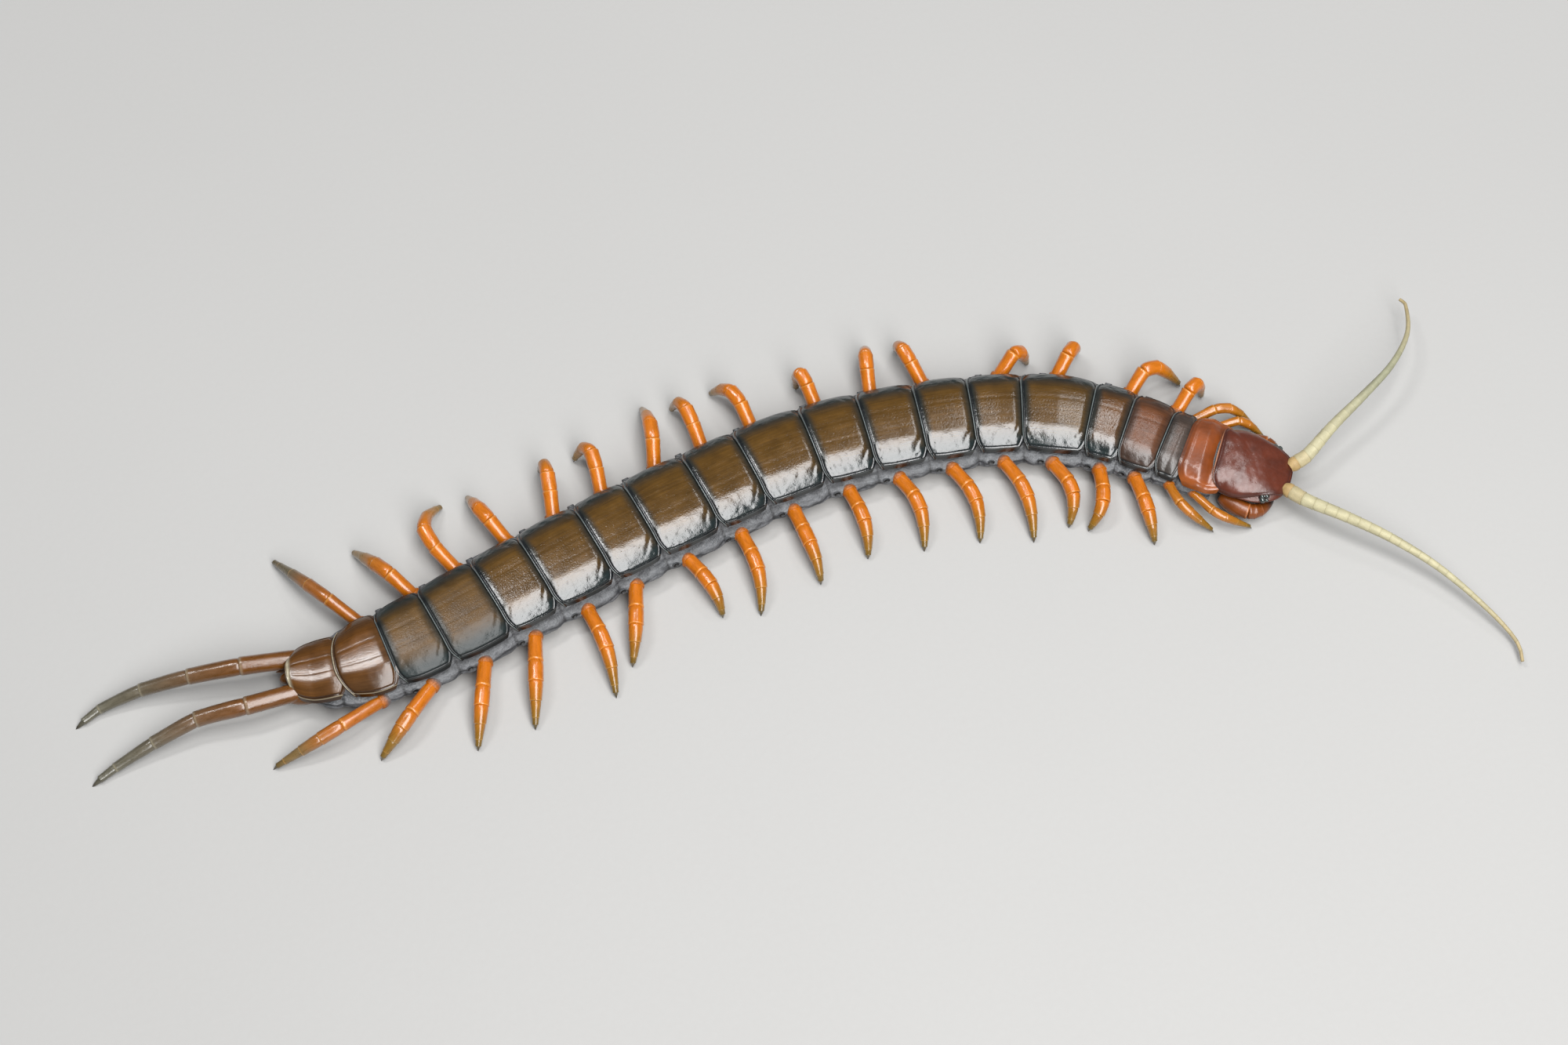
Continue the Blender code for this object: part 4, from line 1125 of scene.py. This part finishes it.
def spiracles(material):
    """Dark slits with pale lips along both flanks, behind each leg."""
    skin = Skin()
    angle = circle(20)
    # Painted shade: the near-black middle stands in for the depth of each breathing hole.
    tint = mix(FLANK_GREY * 0.7, BEAD * 0.04, np.array([0, 0, 0.2, 1, 1, 1]))[:, None]
    long, high = SPIRACLE_HALF
    for number in range(3, 18):
        s = PLATE_ENDS[number - 1] + LEGS["right"][number - 1][0] * PLATES[number - 1][0] + SPIRACLE_BEHIND
        forward, leftward = axes(s)
        reach = float(body_width(s) / 2 + flank_out(s)) - 0.12
        for side in SIDES.values():
            looks = unit(leftward * side + UP * 0.6)
            up_way = unit(np.cross(forward, looks))
            loop = np.outer(np.cos(angle), forward) * long + np.outer(np.sin(angle), up_way) * high
            centre = place(s, side * reach, SPIRACLE_HEIGHT)
            skin.add([centre + looks * rise + size * loop for size, rise in SPIRACLE], tint)
    skin.build("spiracles", material, "plate")


def tail_end(skin):
    """Side pieces of the last segment and the small end lobe between the trailing legs."""
    ahead, leftward = axes(TAIL_END - 2)
    for side in SIDES.values():
        rounded_lobe(skin, place(TAIL_END - 2.6, side * 3.0, 3.4), ahead, leftward, (3.6, 1.9, 1.8),
                     TAIL_LEG * 0.8)
        spike(skin, place(TAIL_END + 0.6, side * 2.0, 2.6), -ahead, 1.4, 0.5, TAIL_LEG * 0.7)
    rounded_lobe(skin, place(TAIL_END - 0.6, 0, 3.6), ahead, leftward, (2.0, 1.2, 1.3), TAIL_LEG * 0.6)


def add_light(name, target, tilt, size, power):
    """A rectangular softbox above its target, leaning towards the viewer's side by its tilt."""
    lean = math.radians(tilt)
    light = bpy.data.lights.new(name, "AREA")
    light.shape = "RECTANGLE"
    light.size, light.size_y = (v * MM for v in size)
    light.energy = power
    lamp = add_object(name, light)
    lamp.location = (Vector(target) + Vector((0, -math.sin(lean), math.cos(lean))) * LIGHT_DISTANCE) * MM
    lamp.rotation_euler = (lean, 0, 0)
    lamp.visible_camera = False


def set_stage():
    """Floor, lights, surroundings and camera."""
    mesh = bpy.data.meshes.new("floor")
    reach = FLOOR_REACH * MM
    corners = [(x * reach, y * reach, 0) for x, y in ((-1, -1), (1, -1), (1, 1), (-1, 1))]
    mesh.from_pydata(corners, [], [(0, 1, 2, 3)])
    mesh.materials.append(floor_paint())
    add_object("floor", mesh)

    for name, setting in SOFTBOXES.items():
        add_light(name, *setting)

    world = bpy.data.worlds.new("studio")
    bpy.context.scene.world = world
    world.use_nodes = True
    sky = world.node_tree.nodes["Background"]
    sky.inputs["Color"].default_value = SKY
    sky.inputs["Strength"].default_value = SKY_STRENGTH

    camera = bpy.data.cameras.new("camera")
    camera.lens = CAMERA_LENS
    camera.sensor_width = 36.0
    camera.sensor_fit = "HORIZONTAL"
    camera.clip_start = 10 * MM
    camera.clip_end = 20000 * MM
    a, e = math.radians(CAMERA_AZIMUTH), math.radians(CAMERA_ELEVATION)
    away = Vector((math.sin(a) * math.cos(e), -math.cos(a) * math.cos(e), math.sin(e)))
    eye_point = add_object("camera", camera)
    eye_point.location = (Vector(CAMERA_TARGET) + away * CAMERA_DISTANCE) * MM
    eye_point.rotation_euler = away.to_track_quat("Z", "Y").to_euler()
    bpy.context.scene.camera = eye_point
    bpy.context.scene.view_settings.view_transform = "Standard"


def main():
    plate = shell_paint("plate_shell", coat=0.66, gloss=0.14)
    dull_plate = shell_paint("rear_plate_shell", coat=0.16, gloss=0.34, ior=1.38)
    neck_plate = shell_paint("neck_plate_shell", coat=0.25, gloss=0.25)
    tail_plate = shell_paint("tail_shell", coat=0.36, gloss=0.17, ior=1.45, grain=0.013)
    paints = {1: head_paint("first_plate_shell", coat=0.4, gloss=0.28), 2: neck_plate, 3: neck_plate,
              16: dull_plate, 17: dull_plate, 18: tail_plate, 19: tail_plate}
    head = head_paint("head_shell", coat=0.22, gloss=0.28)
    soft = skin_paint()
    horn, down, glass = leg_paint(), feeler_paint(), eye_paint()

    body = Skin()
    body.add(*body_skin())
    sockets(body)
    body.build("trunk_skin", soft, "plate", *[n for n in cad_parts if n.startswith("trunk")])
    for number in range(1, 20):
        shell = Skin()
        shell.add(*back_plate(number))
        shell.build(f"back_plate_{number:02d}", paints.get(number, plate), "plate")
    belly = Skin()
    for number in range(1, 20):
        belly.add(*belly_plate(number))
    belly.build("belly_plates", plate, "plate")
    spiracles(soft)
    tail = Skin()
    tail_end(tail)
    tail.build("tail_end", horn, "plate")

    skull = Skin()
    head_plate(skull)
    head_body(skull)
    mouthparts(skull)
    skull.build("head_looks", head, "head_shell", "head")
    claw_plate(head)
    for side in SIDES:
        eye(side, glass)
        feeler(side, down)
        poison_claw(side, head)
        for number in range(1, 19):
            walking_leg(side, number, horn)
        trailing_leg(side, horn)
    set_stage()


main()
